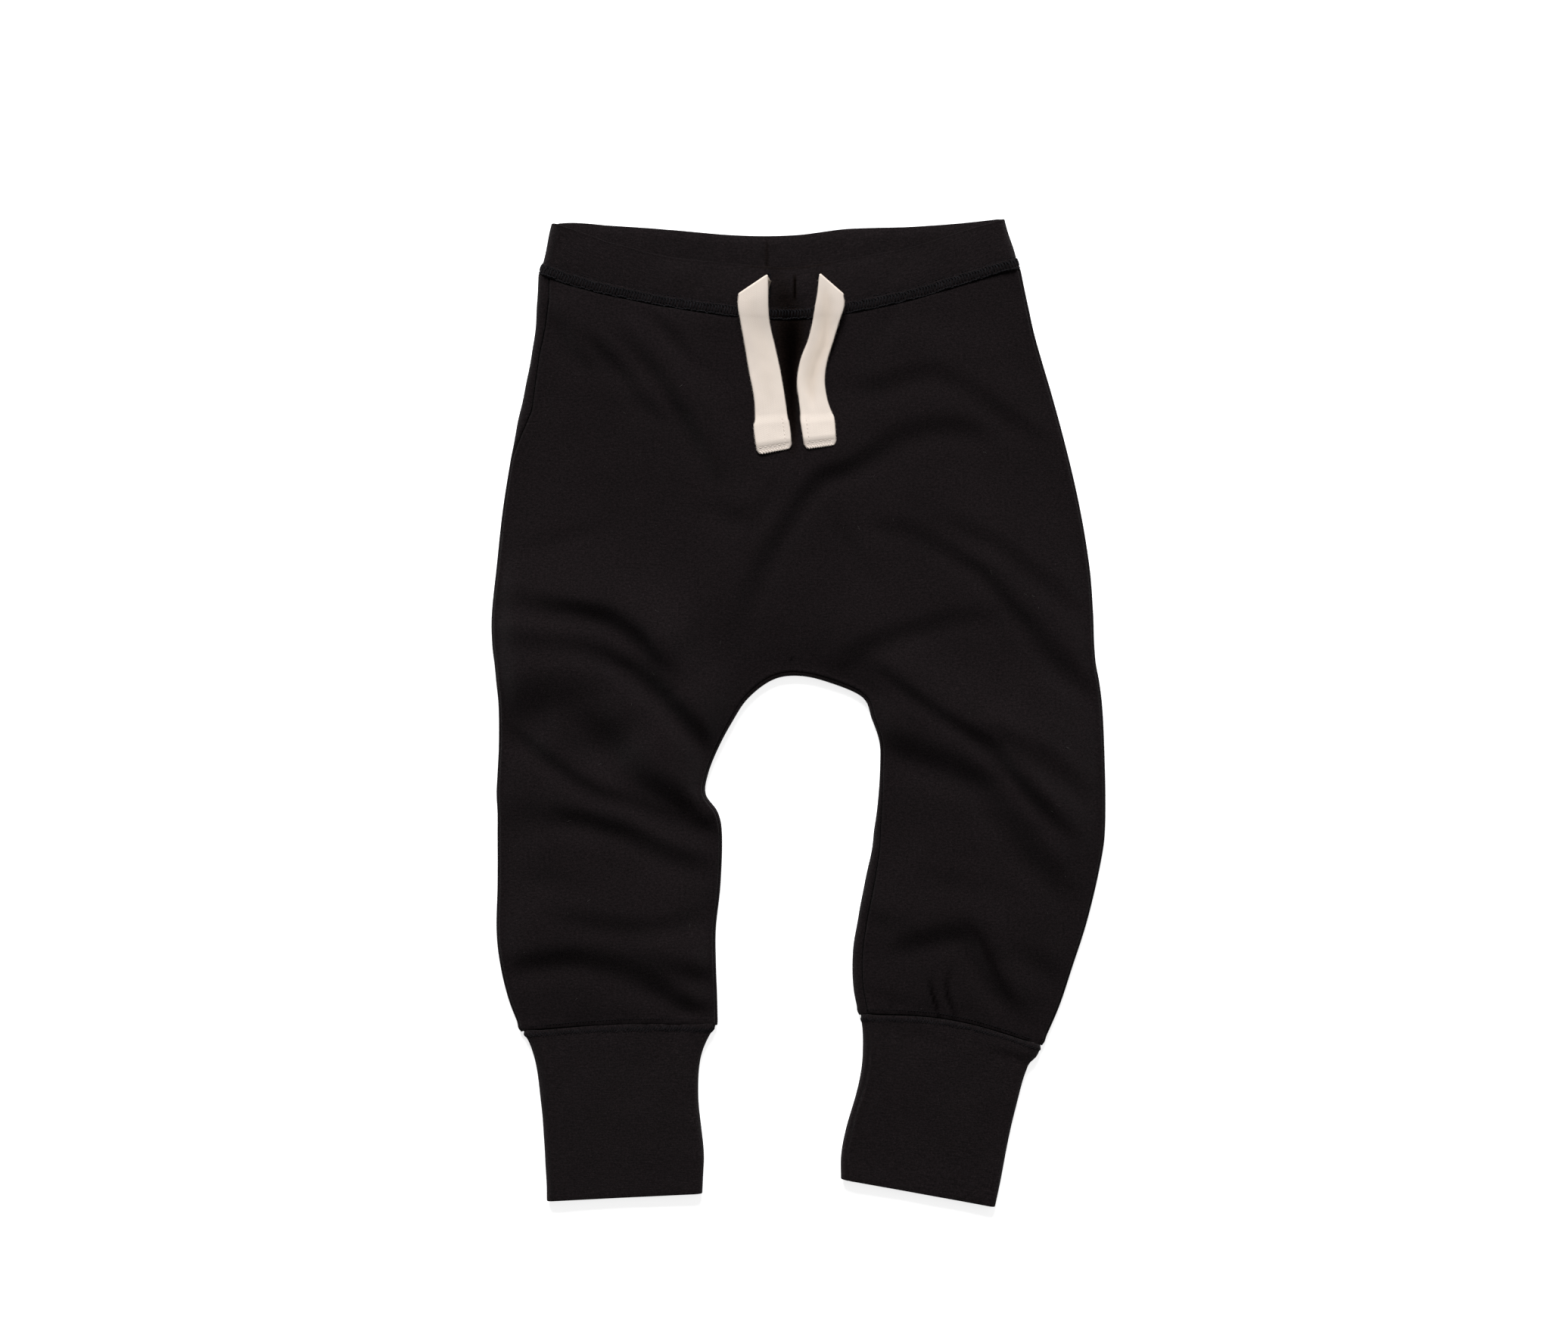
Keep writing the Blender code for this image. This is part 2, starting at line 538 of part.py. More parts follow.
def add_ring(name, front, back, wall, roll, colour):
    """A flattened tube. front and back hold a row of (x, y, top) and of (x, y) for each level.

    Each level is (points, share rounded away), from the cut seam to the folded edge, and each row's
    ends stand one roll inside the side folds.
    """
    turn_steps = 2 * ROLL_STEPS
    outer = []
    inner = []
    for (front_row, round_off), (back_row, _) in zip(front, back):
        less = wall * round_off

        def corner(end, beside):
            """Points round a side fold, from the front row's end to the back row's end."""
            front_way = unit((front_row[end] - front_row[beside])[:2])
            back_way = unit(back_row[end] - back_row[beside])
            for step in range(1, turn_steps):
                share = step / turn_steps
                level = math.cos(math.pi * share)
                way = (front_way * (1 - share) + back_way * share) * math.sin(math.pi * share)
                plan = front_row[end][:2] * (1 - share) + back_row[end] * share
                high = front_row[end][2] - roll if level > 0 else roll
                out_plan = plan + way * (roll - less)
                in_plan = plan + way * (roll - wall + less)
                outer.append((*out_plan, roll + (high - less) * level))
                inner.append((*in_plan, roll + (high - wall + less) * level))

        for x, y, top in front_row:
            outer.append((x, y, top - less))
            inner.append((x, y, top - wall + less))
        corner(-1, -2)
        for x, y in reversed(back_row):
            outer.append((x, y, less))
            inner.append((x, y, wall - less))
        turn = len(outer)
        corner(0, 1)
        outer[turn:] = reversed(outer[turn:])
        inner[turn:] = reversed(inner[turn:])
    around = 2 * len(front[0][0]) + 2 * (turn_steps - 1)
    quads = grid_quads(len(front), around + 1, lambda r, c: r * around + c % around)
    add_wall(name, outer, inner, quads, colour)


def levels_to_edge(height, steps):
    """Shares of a ring's height, and the share rounded away at each, up to its folded edge."""
    plain = [(1.0 - FOLDED_EDGE[0][0] / height) * i / steps for i in range(steps)]
    return [(s, 0.0) for s in plain] + [(1.0 - back_off / height, cut) for back_off, cut in FOLDED_EDGE]


def band_column(number):
    """The x of a column of the waistband at its seam, closer together at the side folds."""
    share = number / BAND_COLUMNS
    eased = share - BAND_CROWDING * math.sin(2.0 * math.pi * share) / (2.0 * math.pi)
    left = WAIST[0].x + BAND_ROLL
    return left + (WAIST[-1].x - BAND_ROLL - left) * eased


def add_waistband():
    """The waistband: its front dips below its back, so the inside of the back shows."""
    front = []
    back = []
    for share, round_off in levels_to_edge(BAND_HEIGHT, BAND_ROWS):
        front_row = []
        back_row = []
        for c in range(BAND_COLUMNS + 1):
            seam_x = band_column(c)
            at = waist_at(seam_x)
            x = seam_x + at.lean * share
            y = at.front_seam + SEAM_GAP / 2 + (at.front_top - at.front_seam - SEAM_GAP / 2) * share
            back_y = at.back_seam + SEAM_GAP / 2 + (at.back_top - at.back_seam - SEAM_GAP / 2) * share
            front_row.append(np.array([x, y, band_top(seam_x, y, at.lift)]))
            back_row.append(np.array([x, back_y]))
        front.append((front_row, round_off))
        back.append((back_row, round_off))
    add_ring("waistband", front, back, BAND_WALL, BAND_ROLL, BAND_BLACK)


def add_cuff(name, table):
    """A cuff, from the leg's seam down to its folded hem."""
    front = []
    back = []
    edges = [(c.left_x, c.left_y, c.right_x, c.right_y, c.bow) for c in table]
    height = abs(table[-1].left_y - table[0].left_y)
    fine = even_steps(edges, 0, len(edges) - 1, 200)
    for share, round_off in levels_to_edge(height, CUFF_ROWS):
        row = spline(edges, float(np.interp(share, np.linspace(0.0, 1.0, len(fine)), fine)))
        left, right, bow = row[0:2], row[2:4], row[4]
        along = unit(right - left)
        start, end = left + along * CUFF_ROLL, right - along * CUFF_ROLL
        front_row = []
        back_row = []
        for c in range(CUFF_COLUMNS + 1):
            across = c / CUFF_COLUMNS
            plan = start + (end - start) * across + [0.0, bow * math.sin(math.pi * across)]
            side = min(across, 1.0 - across) * np.linalg.norm(end - start)
            top = CUFF_TOP + CUFF_BULGE * math.sin(math.pi * min(share, CUFF_BULGE_END))
            top += (2.0 * CUFF_ROLL - top) * math.exp(-((side / SIDE_FOLD_REACH) ** 2))
            front_row.append(np.array([*plan, top]))
            back_row.append(plan)
        front.append((front_row, round_off))
        back.append((back_row, round_off))
    add_ring(name, front, back, CUFF_WALL, CUFF_ROLL, BAND_BLACK)


# ---------------------------------------------------------------- drawcord

LIE_REACH = 2.5         # the drawcord lies on the highest cloth this near
BAND_OVERLAP = 1.0      # length below the waist seam that counts as waistband


def cloth_top(x, y):
    """The highest cloth close to (x, y), which the drawcord lies on."""
    heights = []
    for dx in (-LIE_REACH, 0.0, LIE_REACH):
        for dy in (-LIE_REACH, 0.0, LIE_REACH):
            on_band = y + dy > from_stations("front_seam", x + dx) - BAND_OVERLAP
            heights.append(band_top(x + dx, y + dy, 0.0) if on_band else front_top(x + dx, y + dy))
    return max(heights)


def add_tape(name, table):
    """A free end of the drawcord, lying on the waistband and the front."""
    edges = [tuple(row) for row in table]
    outer = []
    inner = []
    for t in even_steps(edges, 0, len(edges) - 1, TAPE_ROWS):
        row = spline(edges, t)
        wall = min(max(row[4], TAPE_WALL), TAPE_DOUBLE)
        for c in range(TAPE_COLUMNS + 1):
            plan = row[0:2] + (row[2:4] - row[0:2]) * c / TAPE_COLUMNS
            low = cloth_top(*plan) + LAY_GAP
            inner.append((*plan, low))
            outer.append((*plan, low + wall))
    quads = grid_quads(TAPE_ROWS + 1, TAPE_COLUMNS + 1, lambda r, c: r * (TAPE_COLUMNS + 1) + c)
    add_wall(name, outer, inner, quads, TAPE_CREAM, TAPE_ROUGHNESS)


def main():
    for old in list(bpy.data.objects):
        bpy.data.objects.remove(old, do_unlink=True)
    add_panel("front_panel", False, FRONT_COLUMNS)
    add_panel("back_panel", True, BACK_COLUMNS)
    add_waistband()
    add_cuff("cuff_left", LEFT_CUFF)
    add_cuff("cuff_right", RIGHT_CUFF)
    add_tape("drawcord_left", LEFT_TAPE)
    add_tape("drawcord_right", RIGHT_TAPE)


main()
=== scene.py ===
"""Baby sweatpants in soft black cotton knit with a cream drawcord, laid flat on their back: the looks.

The shells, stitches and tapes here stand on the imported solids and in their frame: +X is the viewer's
right, +Y points from the hems to the waist, +Z is up from the surface. Sizes are in millimetres, and
meshes are turned into metres where they are made.
"""

import math
from collections import namedtuple

import bpy
import numpy as np
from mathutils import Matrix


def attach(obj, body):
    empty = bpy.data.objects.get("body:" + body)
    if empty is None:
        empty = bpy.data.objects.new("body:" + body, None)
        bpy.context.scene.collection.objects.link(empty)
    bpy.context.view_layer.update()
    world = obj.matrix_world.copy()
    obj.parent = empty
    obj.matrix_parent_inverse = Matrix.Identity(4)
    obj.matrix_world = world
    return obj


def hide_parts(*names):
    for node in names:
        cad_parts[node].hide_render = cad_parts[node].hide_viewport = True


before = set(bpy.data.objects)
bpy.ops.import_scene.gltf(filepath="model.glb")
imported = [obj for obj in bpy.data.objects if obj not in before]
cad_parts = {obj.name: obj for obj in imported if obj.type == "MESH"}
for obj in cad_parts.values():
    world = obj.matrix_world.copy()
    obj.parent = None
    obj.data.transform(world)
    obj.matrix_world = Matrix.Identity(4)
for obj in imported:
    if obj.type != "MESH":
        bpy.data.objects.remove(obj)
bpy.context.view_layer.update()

MM = 0.001

# ---------------------------------------------------------------- driving sizes, as in the solids' source

SEAM_GAP = 0.3          # between pieces at a seam
PANEL_ROLL = 2.3        # radius of the soft edge of the legs and hips
BAND_ROLL = 3.0         # radius of the waistband's side folds
CUFF_ROLL = 2.8         # radius of the cuffs' side folds
CENTRE_X = -1.6         # centre line of the body
APEX_Y = 15.5           # top of the arch between the legs

PANEL_WALL = 1.1        # shell thickness of the front and back
BAND_WALL = 2.0
CUFF_WALL = 1.8
TAPE_WALL = 1.25

# ---------------------------------------------------------------- outlines, as in the solids' source

# A section runs from a side edge (out) to the centre line or the inner leg (in). follow is how much
# of the waist seam's curve it has, bow how far its middle stands above its straight line.
Section = namedtuple("Section", "out_x out_y in_x in_y follow bow", defaults=(0.0, 0.0))

LEFT_SECTIONS = (
    Section(-109.7, 185.4, CENTRE_X, 165.6, 1.0), Section(-110.4, 172.0, CENTRE_X, 151.0, 0.7),
    Section(-111.7, 157.3, CENTRE_X, 137.0, 0.4), Section(-116.2, 133.3, CENTRE_X, 117.0, 0.1),
    Section(-121.0, 109.3, CENTRE_X, 97.0), Section(-124.8, 85.3, CENTRE_X, 76.0),
    Section(-127.4, 61.3, CENTRE_X, 55.0), Section(-129.4, 42.0, CENTRE_X, 37.5),
    Section(-129.3, 29.3, CENTRE_X, 25.5), Section(-128.2, 20.0, CENTRE_X, APEX_Y),
    Section(-127.5, 12.5, -11.8, 13.3), Section(-126.7, 5.0, -21.8, 5.3),
    Section(-126.4, -4.0, -28.5, -5.0), Section(-126.5, -15.0, -34.2, -15.8),
    Section(-127.0, -25.5, -38.2, -26.0), Section(-127.4, -34.0, -39.2, -34.4),
    Section(-127.0, -42.5, -34.0, -42.2), Section(-127.0, -52.0, -32.3, -52.0),
    Section(-127.0, -72.0, -32.9, -72.0), Section(-127.4, -92.0, -34.9, -91.0),
    Section(-125.8, -106.7, -34.9, -105.0, 0.0, 0.5), Section(-122.2, -121.5, -34.4, -119.0, 0.0, 1.0),
    Section(-117.0, -134.9, -34.1, -131.9, 0.0, 1.5),
)

RIGHT_SECTIONS = (
    Section(93.4, 187.3, CENTRE_X, 165.6, 1.0), Section(96.8, 172.0, CENTRE_X, 151.0, 0.7),
    Section(100.2, 157.3, CENTRE_X, 137.0, 0.4), Section(107.2, 133.3, CENTRE_X, 117.0, 0.1),
    Section(113.6, 109.3, CENTRE_X, 97.0), Section(119.0, 85.3, CENTRE_X, 76.0),
    Section(122.9, 61.3, CENTRE_X, 55.0), Section(124.4, 42.0, CENTRE_X, 37.5),
    Section(124.8, 30.0, CENTRE_X, 25.5), Section(125.5, 21.0, CENTRE_X, APEX_Y),
    Section(126.9, 13.5, 10.9, 13.3), Section(128.0, 5.3, 26.8, 6.6),
    Section(128.6, -2.7, 31.0, -2.7), Section(129.0, -12.0, 34.1, -12.0),
    Section(129.3, -21.0, 34.6, -20.5), Section(129.6, -36.0, 33.8, -35.0),
    Section(129.4, -50.0, 32.1, -49.0), Section(128.3, -59.5, 31.0, -58.0),
    Section(125.0, -75.5, 27.8, -73.0, 0.0, 0.5), Section(121.0, -91.0, 25.0, -87.5, 0.0, 1.0),
    Section(115.8, -107.0, 23.0, -102.0, 0.0, 2.0), Section(110.0, -124.5, 23.2, -116.0, 0.0, 3.0),
    Section(102.8, -140.9, 25.7, -127.7, 0.0, 4.0),
)

BACK_RISE = (12.9, 9.0, 5.0, 1.5)   # by which the back's centre is cut higher, in its upper sections

# The waist from the left edge to the right: x at the seam, how far the top edge leans inwards from
# there, and the heights of the seams and of the folded edges. lift raises the front's folded edge.
Station = namedtuple("Station", "x lean front_seam front_top back_seam back_top lift", defaults=(0.0,))

WAIST = (
    Station(-109.3, 5.7, 185.7, 206.5, 185.7, 206.6), Station(-99.0, 4.6, 180.8, 203.6, 184.6, 207.0, 1.2),
    Station(-84.0, 3.2, 176.7, 198.6, 183.1, 205.9, 1.6), Station(-58.0, 1.8, 171.4, 192.6, 181.0, 204.2, 0.8),
    Station(-26.0, 0.6, 166.9, 189.4, 179.0, 201.7, 0.2), Station(-1.6, 0.0, 165.6, 188.1, 178.5, 201.8),
    Station(20.2, 0.0, 168.2, 191.7, 179.4, 204.5, 0.1), Station(48.5, -1.4, 174.1, 196.3, 181.9, 205.3, 0.5),
    Station(72.0, -3.4, 181.2, 203.0, 184.6, 206.8, 0.8), Station(93.2, -6.4, 187.8, 208.2, 187.8, 208.8),
)

# A cuff from its seam down to its folded hem: its two side edges.
Cuff = namedtuple("Cuff", "left_x left_y right_x right_y bow", defaults=(0.0,))

LEFT_CUFF = (
    Cuff(-116.0, -134.9, -34.9, -131.9, 1.5), Cuff(-113.6, -139.4, -38.6, -138.0, 1.0),
    Cuff(-111.2, -146.5, -41.3, -145.5, 0.5), Cuff(-109.8, -155.0, -42.3, -155.0),
    Cuff(-108.5, -167.0, -41.9, -167.0), Cuff(-107.4, -182.0, -40.2, -182.0),
    Cuff(-106.6, -195.0, -40.0, -193.5), Cuff(-106.2, -206.3, -40.5, -203.0),
)

RIGHT_CUFF = (
    Cuff(26.4, -127.7, 101.9, -140.6, 4.0), Cuff(27.0, -133.5, 100.3, -144.0, 3.0),
    Cuff(27.2, -140.5, 96.8, -149.8, 1.5), Cuff(26.6, -149.0, 94.3, -157.0, 0.5),
    Cuff(24.2, -161.0, 91.5, -168.0), Cuff(20.3, -175.0, 88.8, -180.0),
    Cuff(18.0, -187.0, 86.3, -192.5), Cuff(17.9, -197.0, 83.0, -209.2),
)

# ---------------------------------------------------------------- folds of the front

# A fold's line lies on its steep side. The crest stands one width to the left of the line, looking
# along it, and the trough lies on the right. Each point of a line has x, y, the crest's height and the
# width of the steep side there.
Fold = namedtuple("Fold", "name points")

FOLDS = (
    Fold("crotch_to_right_hip", ((-28, 22, 0, 6), (-25, 38, 1.2, 6), (-20, 52, 2.2, 6), (-12, 69, 2.6, 5.5),
        (-5, 80, 2.4, 5), (4, 94, 2.6, 5), (10, 100, 2.6, 5.5), (21, 103.5, 2.5, 5.5), (31, 110, 2.3, 6),
        (40, 116, 2.1, 6.5), (55, 121, 1.9, 6.5), (68, 121, 1.6, 6), (84, 115, 0, 5))),
    Fold("right_hip_upper", ((20, 138, 0, 5.5), (31, 138, 1.4, 6), (44, 142, 1.7, 6), (56, 144, 1.8, 6),
        (66, 141, 1.6, 5.5), (76, 134.5, 1.4, 5), (86, 127, 1.6, 5), (96, 120, 1.2, 5), (107, 112, 0, 5))),
    Fold("right_thigh_long", ((26, 79, 0, 5), (36, 79.5, 0.9, 5), (48, 77, 1.1, 5), (58, 71.5, 1.4, 4.8),
        (68, 66, 1.8, 4.4), (78, 59.5, 2.3, 4), (86, 50.5, 2.6, 4.2), (95, 40, 2.8, 4.8), (104, 29, 3, 5.8),
        (112, 20, 3.4, 6.5), (121, 12, 2.4, 6), (134, 4, 0, 6))),
    Fold("right_thigh_outer", ((56, 86, 0, 5), (65, 81.5, 1, 5), (75, 76, 1.5, 5), (86, 70, 1.7, 5),
        (96, 62.5, 1.8, 5), (105, 55, 1.7, 5), (114, 47, 1.2, 5), (124, 38, 0, 5))),
    Fold("right_groin_short", ((13, 18, 0, 6), (22, 24.5, 1.8, 6.5), (31, 29.5, 2.6, 6.5),
        (42, 33.5, 2.5, 6.5), (52, 36.5, 1.9, 6), (63, 39.5, 1.5, 6), (76, 41, 1.1, 6), (90, 41, 0, 6))),
    Fold("right_crotch_hollow", ((6, 19, 0, 6), (16, 17.5, 1.2, 6), (28, 15, 1.8, 6), (38, 9.5, 1.4, 6),
        (48, 3, 0, 5))),
    Fold("right_knee_long", ((18, 23, 0, 4), (28, 21.5, 0.9, 4), (36, 18, 1.7, 3.8), (45, 10.5, 2.2, 3.8),
        (54, 4, 2.2, 3.8), (62, -1.5, 2.4, 4), (70, -6.5, 2.6, 4.2), (78, -12, 3, 4.6), (86, -19.5, 4, 4.6),
        (92.5, -27, 4.5, 4.4), (99, -35, 4.2, 4.4), (106, -42.5, 2.9, 4.4), (113, -50, 1.4, 4.5),
        (121, -58, 0, 5))),
    Fold("right_knee_branch", ((73, -2, 0, 6), (82, -8, 2.4, 6.5), (93, -13.5, 3.4, 7), (104, -19.5, 3.5, 7),
        (113, -26.5, 2.6, 6.5), (122, -34, 1, 6), (131, -41, 0, 5.5))),
    Fold("right_knee_inner", ((20, -8, 0, 7.5), (31, -11, 3.6, 7.8), (40, -13.5, 4.4, 8.2),
        (50, -16.5, 4.4, 8.2), (60, -20, 4, 8), (68, -23.5, 3, 7.5), (76, -27, 1.8, 7), (86, -31, 0, 6))),
    Fold("right_knee_lower", ((71, -18, 0, 7), (77.5, -26, 2.4, 7.5), (83.5, -35, 3.7, 8), (90, -46, 4, 8),
        (97, -56, 3.8, 8), (104, -65, 3.1, 7.5), (112, -74, 1.4, 7), (118, -83, 0, 7))),
    Fold("right_shin_faint", ((44, -66, 0, 6), (58, -68, 0.7, 6), (74, -72, 0.8, 6), (88, -78, 0, 6))),
    Fold("right_calf_start", ((22, -80, 0, 5), (31, -84.5, 1.3, 5), (38, -88.5, 1.2, 5), (46, -92, 0, 5))),
    Fold("right_calf_crown", ((35, -99, 0, 5.5), (43, -97.5, 1.8, 6), (52, -95.5, 2.5, 6.5),
        (62, -93.5, 2.6, 6.5), (69, -93.5, 2.6, 6), (73.5, -97, 2.6, 5.2), (76.5, -104, 2.8, 4.8),
        (80, -111, 3, 4.8), (84.5, -117, 2.7, 4.8), (90, -123, 1.7, 4.8), (97, -130, 0, 4.4))),
    Fold("right_calf_outer", ((86, -95, 0, 6.5), (94, -100, 1.3, 6.5), (102, -105, 1.7, 6.5),
        (110, -110.5, 1.5, 6.5), (120, -117, 0, 6.5))),
    Fold("left_thigh_upper", ((-142, 49, 0, 6.5), (-130, 49, 1.3, 6.5), (-120, 48, 2.1, 6.5),
        (-110, 46, 2.6, 6.2), (-100, 44.5, 3.6, 6), (-90, 43, 4.2, 6), (-80, 40.5, 4.5, 6),
        (-72, 36, 5.3, 6.2), (-65, 30, 6, 6.4), (-60, 23, 5, 6.4), (-54.5, 17, 2, 6), (-49, 12.5, 0.5, 5),
        (-43, 7, 0, 5))),
    Fold("left_thigh_lower", ((-142, 33, 0, 6), (-128, 32.5, 1.2, 6), (-114, 31, 1.7, 6),
        (-100, 29.5, 1.9, 6), (-86, 27, 2.3, 5.6), (-75, 22.5, 3.6, 5.4), (-66, 16.5, 5.2, 5.4),
        (-58, 9.5, 6.2, 5.6), (-51, 2, 6.2, 5.6), (-45, -5, 5.6, 5.4), (-40, -11.5, 3.6, 5.2),
        (-35, -18, 0, 5))),
    Fold("left_thigh_hollow", ((-146, 2, 0, 13), (-133, 2, 5, 13), (-120, 3, 6.6, 14), (-109, 5, 6.4, 14),
        (-98, 8, 4.8, 13), (-88, 12, 2.2, 12), (-79, 17, 0, 11))),
    Fold("left_thigh_hollow_inner", ((-110, -12, 0, 9.5), (-99, -11, 3, 11), (-88, -8.5, 4, 12),
        (-79, -5.5, 4, 12), (-70, -1, 2.8, 10), (-61, 5, 0, 8))),
    Fold("left_knee_notch", ((-86, 4, 0, 8), (-80, -7, 4.2, 9), (-73.5, -18, 6.6, 9.6), (-65, -27, 7.6, 9.2),
        (-55.5, -34, 7.2, 8.4), (-46.5, -39.5, 6.9, 7.4), (-38, -45, 6.3, 6.4), (-29, -50.5, 2.8, 6),
        (-20, -57, 0, 6))),
    Fold("left_knee_long", ((-134, -1, 0, 4), (-124, -6, 1, 4.2), (-116, -11, 2.5, 4.4),
        (-106, -18.5, 3.3, 4.6), (-95, -26.5, 3.1, 4.6), (-84, -32.5, 2.7, 4.6), (-72, -36.5, 2.5, 4.6),
        (-60, -42, 2.6, 4.8), (-49, -47.5, 2, 5), (-40, -51, 1.2, 5), (-30, -55, 0, 5))),
    Fold("left_knee_lower", ((-140, -45, 0, 10), (-126, -44, 1.5, 10), (-113, -42, 1.7, 9.5),
        (-104, -42.5, 2, 7), (-97, -43.5, 2.6, 5.6), (-90, -45, 2.8, 5.8), (-81, -47.5, 2.9, 5.8),
        (-71, -51, 3, 6), (-60, -56.5, 2.8, 6), (-49, -61, 2.2, 6), (-39, -63.5, 1.1, 6), (-28, -66, 0, 6))),
    Fold("left_shin_small", ((-122, -64, 0, 6), (-111, -67, 0.8, 6), (-98, -70, 0.9, 6),
        (-86, -71.5, 0.6, 6), (-76, -72, 0, 6))),
    Fold("left_calf_faint", ((-112, -81, 0, 6), (-101, -84, 1.1, 6), (-91, -86.5, 1.7, 5.4),
        (-80, -88.5, 1.8, 5.4), (-68, -89.5, 1.8, 5.4), (-56, -88.5, 1.7, 5.4), (-44, -85.5, 1.3, 5.6),
        (-30, -81, 0, 6))),
    Fold("left_calf_low", ((-140, -109, 0, 6.5), (-128, -107.5, 1.9, 6.5), (-118, -106, 2.7, 6.5),
        (-107, -104, 3.2, 6.5), (-96, -103, 3.2, 6.5), (-85, -104.5, 2.9, 7), (-74, -107.5, 3.2, 7.4),
        (-65, -112, 4, 7.2), (-56, -117, 4.2, 6.6), (-48, -122.5, 3.3, 5.8), (-40, -125.5, 2, 5),
        (-30, -127, 0, 5))),
    Fold("left_calf_spur", ((-74, -100, 0, 7), (-63, -104, 1.6, 7), (-52, -107, 2.4, 6.5),
        (-41, -109.5, 3, 5.5), (-30, -111.5, 2.6, 5), (-18, -112, 0, 5))),
    Fold("left_hip_short", ((-95, 164, 0, 3.8), (-88, 158.5, 1.3, 3.8), (-80, 151, 1.8, 3.8),
        (-73, 142.5, 1.9, 3.8), (-67, 134, 1.7, 3.8), (-60, 126.5, 1.2, 4), (-52, 121, 0, 4))),
    Fold("left_hip_long", ((-80, 167, 0, 4.5), (-72, 158.5, 1.8, 4.6), (-64, 149.5, 2.8, 4.6),
        (-57, 140, 3.2, 4.4), (-51, 130.5, 3.4, 4.2), (-45.5, 121, 3.4, 4), (-41, 111.5, 2.9, 3.8),
        (-38, 103, 1.8, 3.8), (-35, 95, 0, 4))),
    Fold("left_hip_outer", ((-110, 178, 0, 5), (-105, 170.5, 1.8, 5), (-99, 161, 2.5, 5), (-94, 152, 2.3, 5),
        (-89, 144, 0, 5))),
    Fold("left_hip_tuck", ((-66, 172, 0, 3.5), (-59, 166, 1.6, 3.5), (-53, 159.5, 1.9, 3.8),
        (-46, 151, 1.4, 4), (-40, 144, 0, 4))),
    Fold("left_hip_side", ((-136, 66, 0, 5), (-122, 69, 0.4, 5), (-106, 73, 0.6, 5), (-92, 77, 0.6, 4.5),
        (-80, 80, 0, 4.5))),
    Fold("belly_spot", ((-43, 93, 0, 6.4), (-35, 87.5, 1.2, 6.6), (-27, 84, 1.6, 6.6), (-20, 87, 1.1, 6.2),
        (-14, 94, 0, 5.6))),
    Fold("belly_streak", ((-24, 72, 0, 3.4), (-19.5, 79, 0.6, 3.4), (-14.5, 89, 0.9, 3.4),
        (-10.5, 98.5, 0.6, 3.4), (-6, 107, 0, 3.4))),
    Fold("groin_spur", ((14, 85, 0, 3.6), (19.5, 77.5, 0.8, 3.6), (23.5, 70, 1.2, 3.6),
        (26.5, 61.5, 0.8, 3.6), (29, 54, 0, 3.6))),
    Fold("right_waist_streak", ((43, 172, 0, 4), (39, 163, 0.9, 4), (36.5, 154, 0.8, 4), (35, 146, 0, 4))),
    Fold("right_cuff_crease", ((26, -114, 0, 3), (32, -117, 0.5, 3), (40, -120.5, 0.4, 3),
        (48, -124, 0, 3))),
)

# Narrow creases, deep enough that painted shade is laid into them.
CREASES = (
    Fold("right_cuff_pleat_a", ((58.5, -132, 0, 1.5), (57.3, -126, 1.9, 1.5), (55.8, -121, 2.4, 1.5),
        (54.6, -116.5, 1.9, 1.5), (53.4, -112, 0, 1.5))),
    Fold("right_cuff_pleat_b", ((65.5, -133, 0, 1.5), (63.9, -126, 1.6, 1.5), (61.6, -119.5, 2, 1.5),
        (61.4, -113.5, 1.5, 1.5), (63, -107, 0, 1.5))),
    Fold("left_thigh_bend", ((-72, 40, 0, 4.6), (-65, 35.5, 0.8, 5), (-58.5, 28.5, 1.1, 5.2),
        (-54.5, 21.5, 0.8, 5), (-51, 15, 0, 4.6))),
    Fold("right_calf_groove", ((91.5, -127, 0, 3.4), (85.5, -119, 0.8, 3.6), (80, -110.5, 1.2, 3.8),
        (76.5, -102, 1.4, 4), (73, -95.5, 1.1, 4), (67, -91.5, 0.5, 4), (60, -91, 0, 3.6))),
)
CREASE_FULL = 1.2       # depth of a crease whose painted shade is black

TROUGH_SHARE = 0.45     # depth of a fold's trough, as a share of its crest
CREST_SPREAD = 3.0      # how much wider a crest is on its gentle side
FOLD_REACH = 9.0        # widths from its line at which a fold has died away
FOLD_BLEND = 1.5        # distance over which a fold's height is evened out

# How far the front stands above its edges, down the garment.
RISE = ((210.0, 0.2), (160.0, 0.4), (100.0, 1.4), (40.0, 2.2), (-40.0, 2.6), (-100.0, 2.2), (-145.0, 0.9))
RISE_REACH = 16.0       # distance from an edge over which the rise comes in
FOLD_EDGE_SHARE = 0.4   # share of a fold's height that is left at an edge
FOLD_EDGE_REACH = 6.0
FRONT_LOWEST = 3.3      # top of the front where it lies on the back
HEM_TOP = 4.9           # top of the legs where the cuffs' seams hold them, as high as the cuffs
HEM_REACH = 4.5

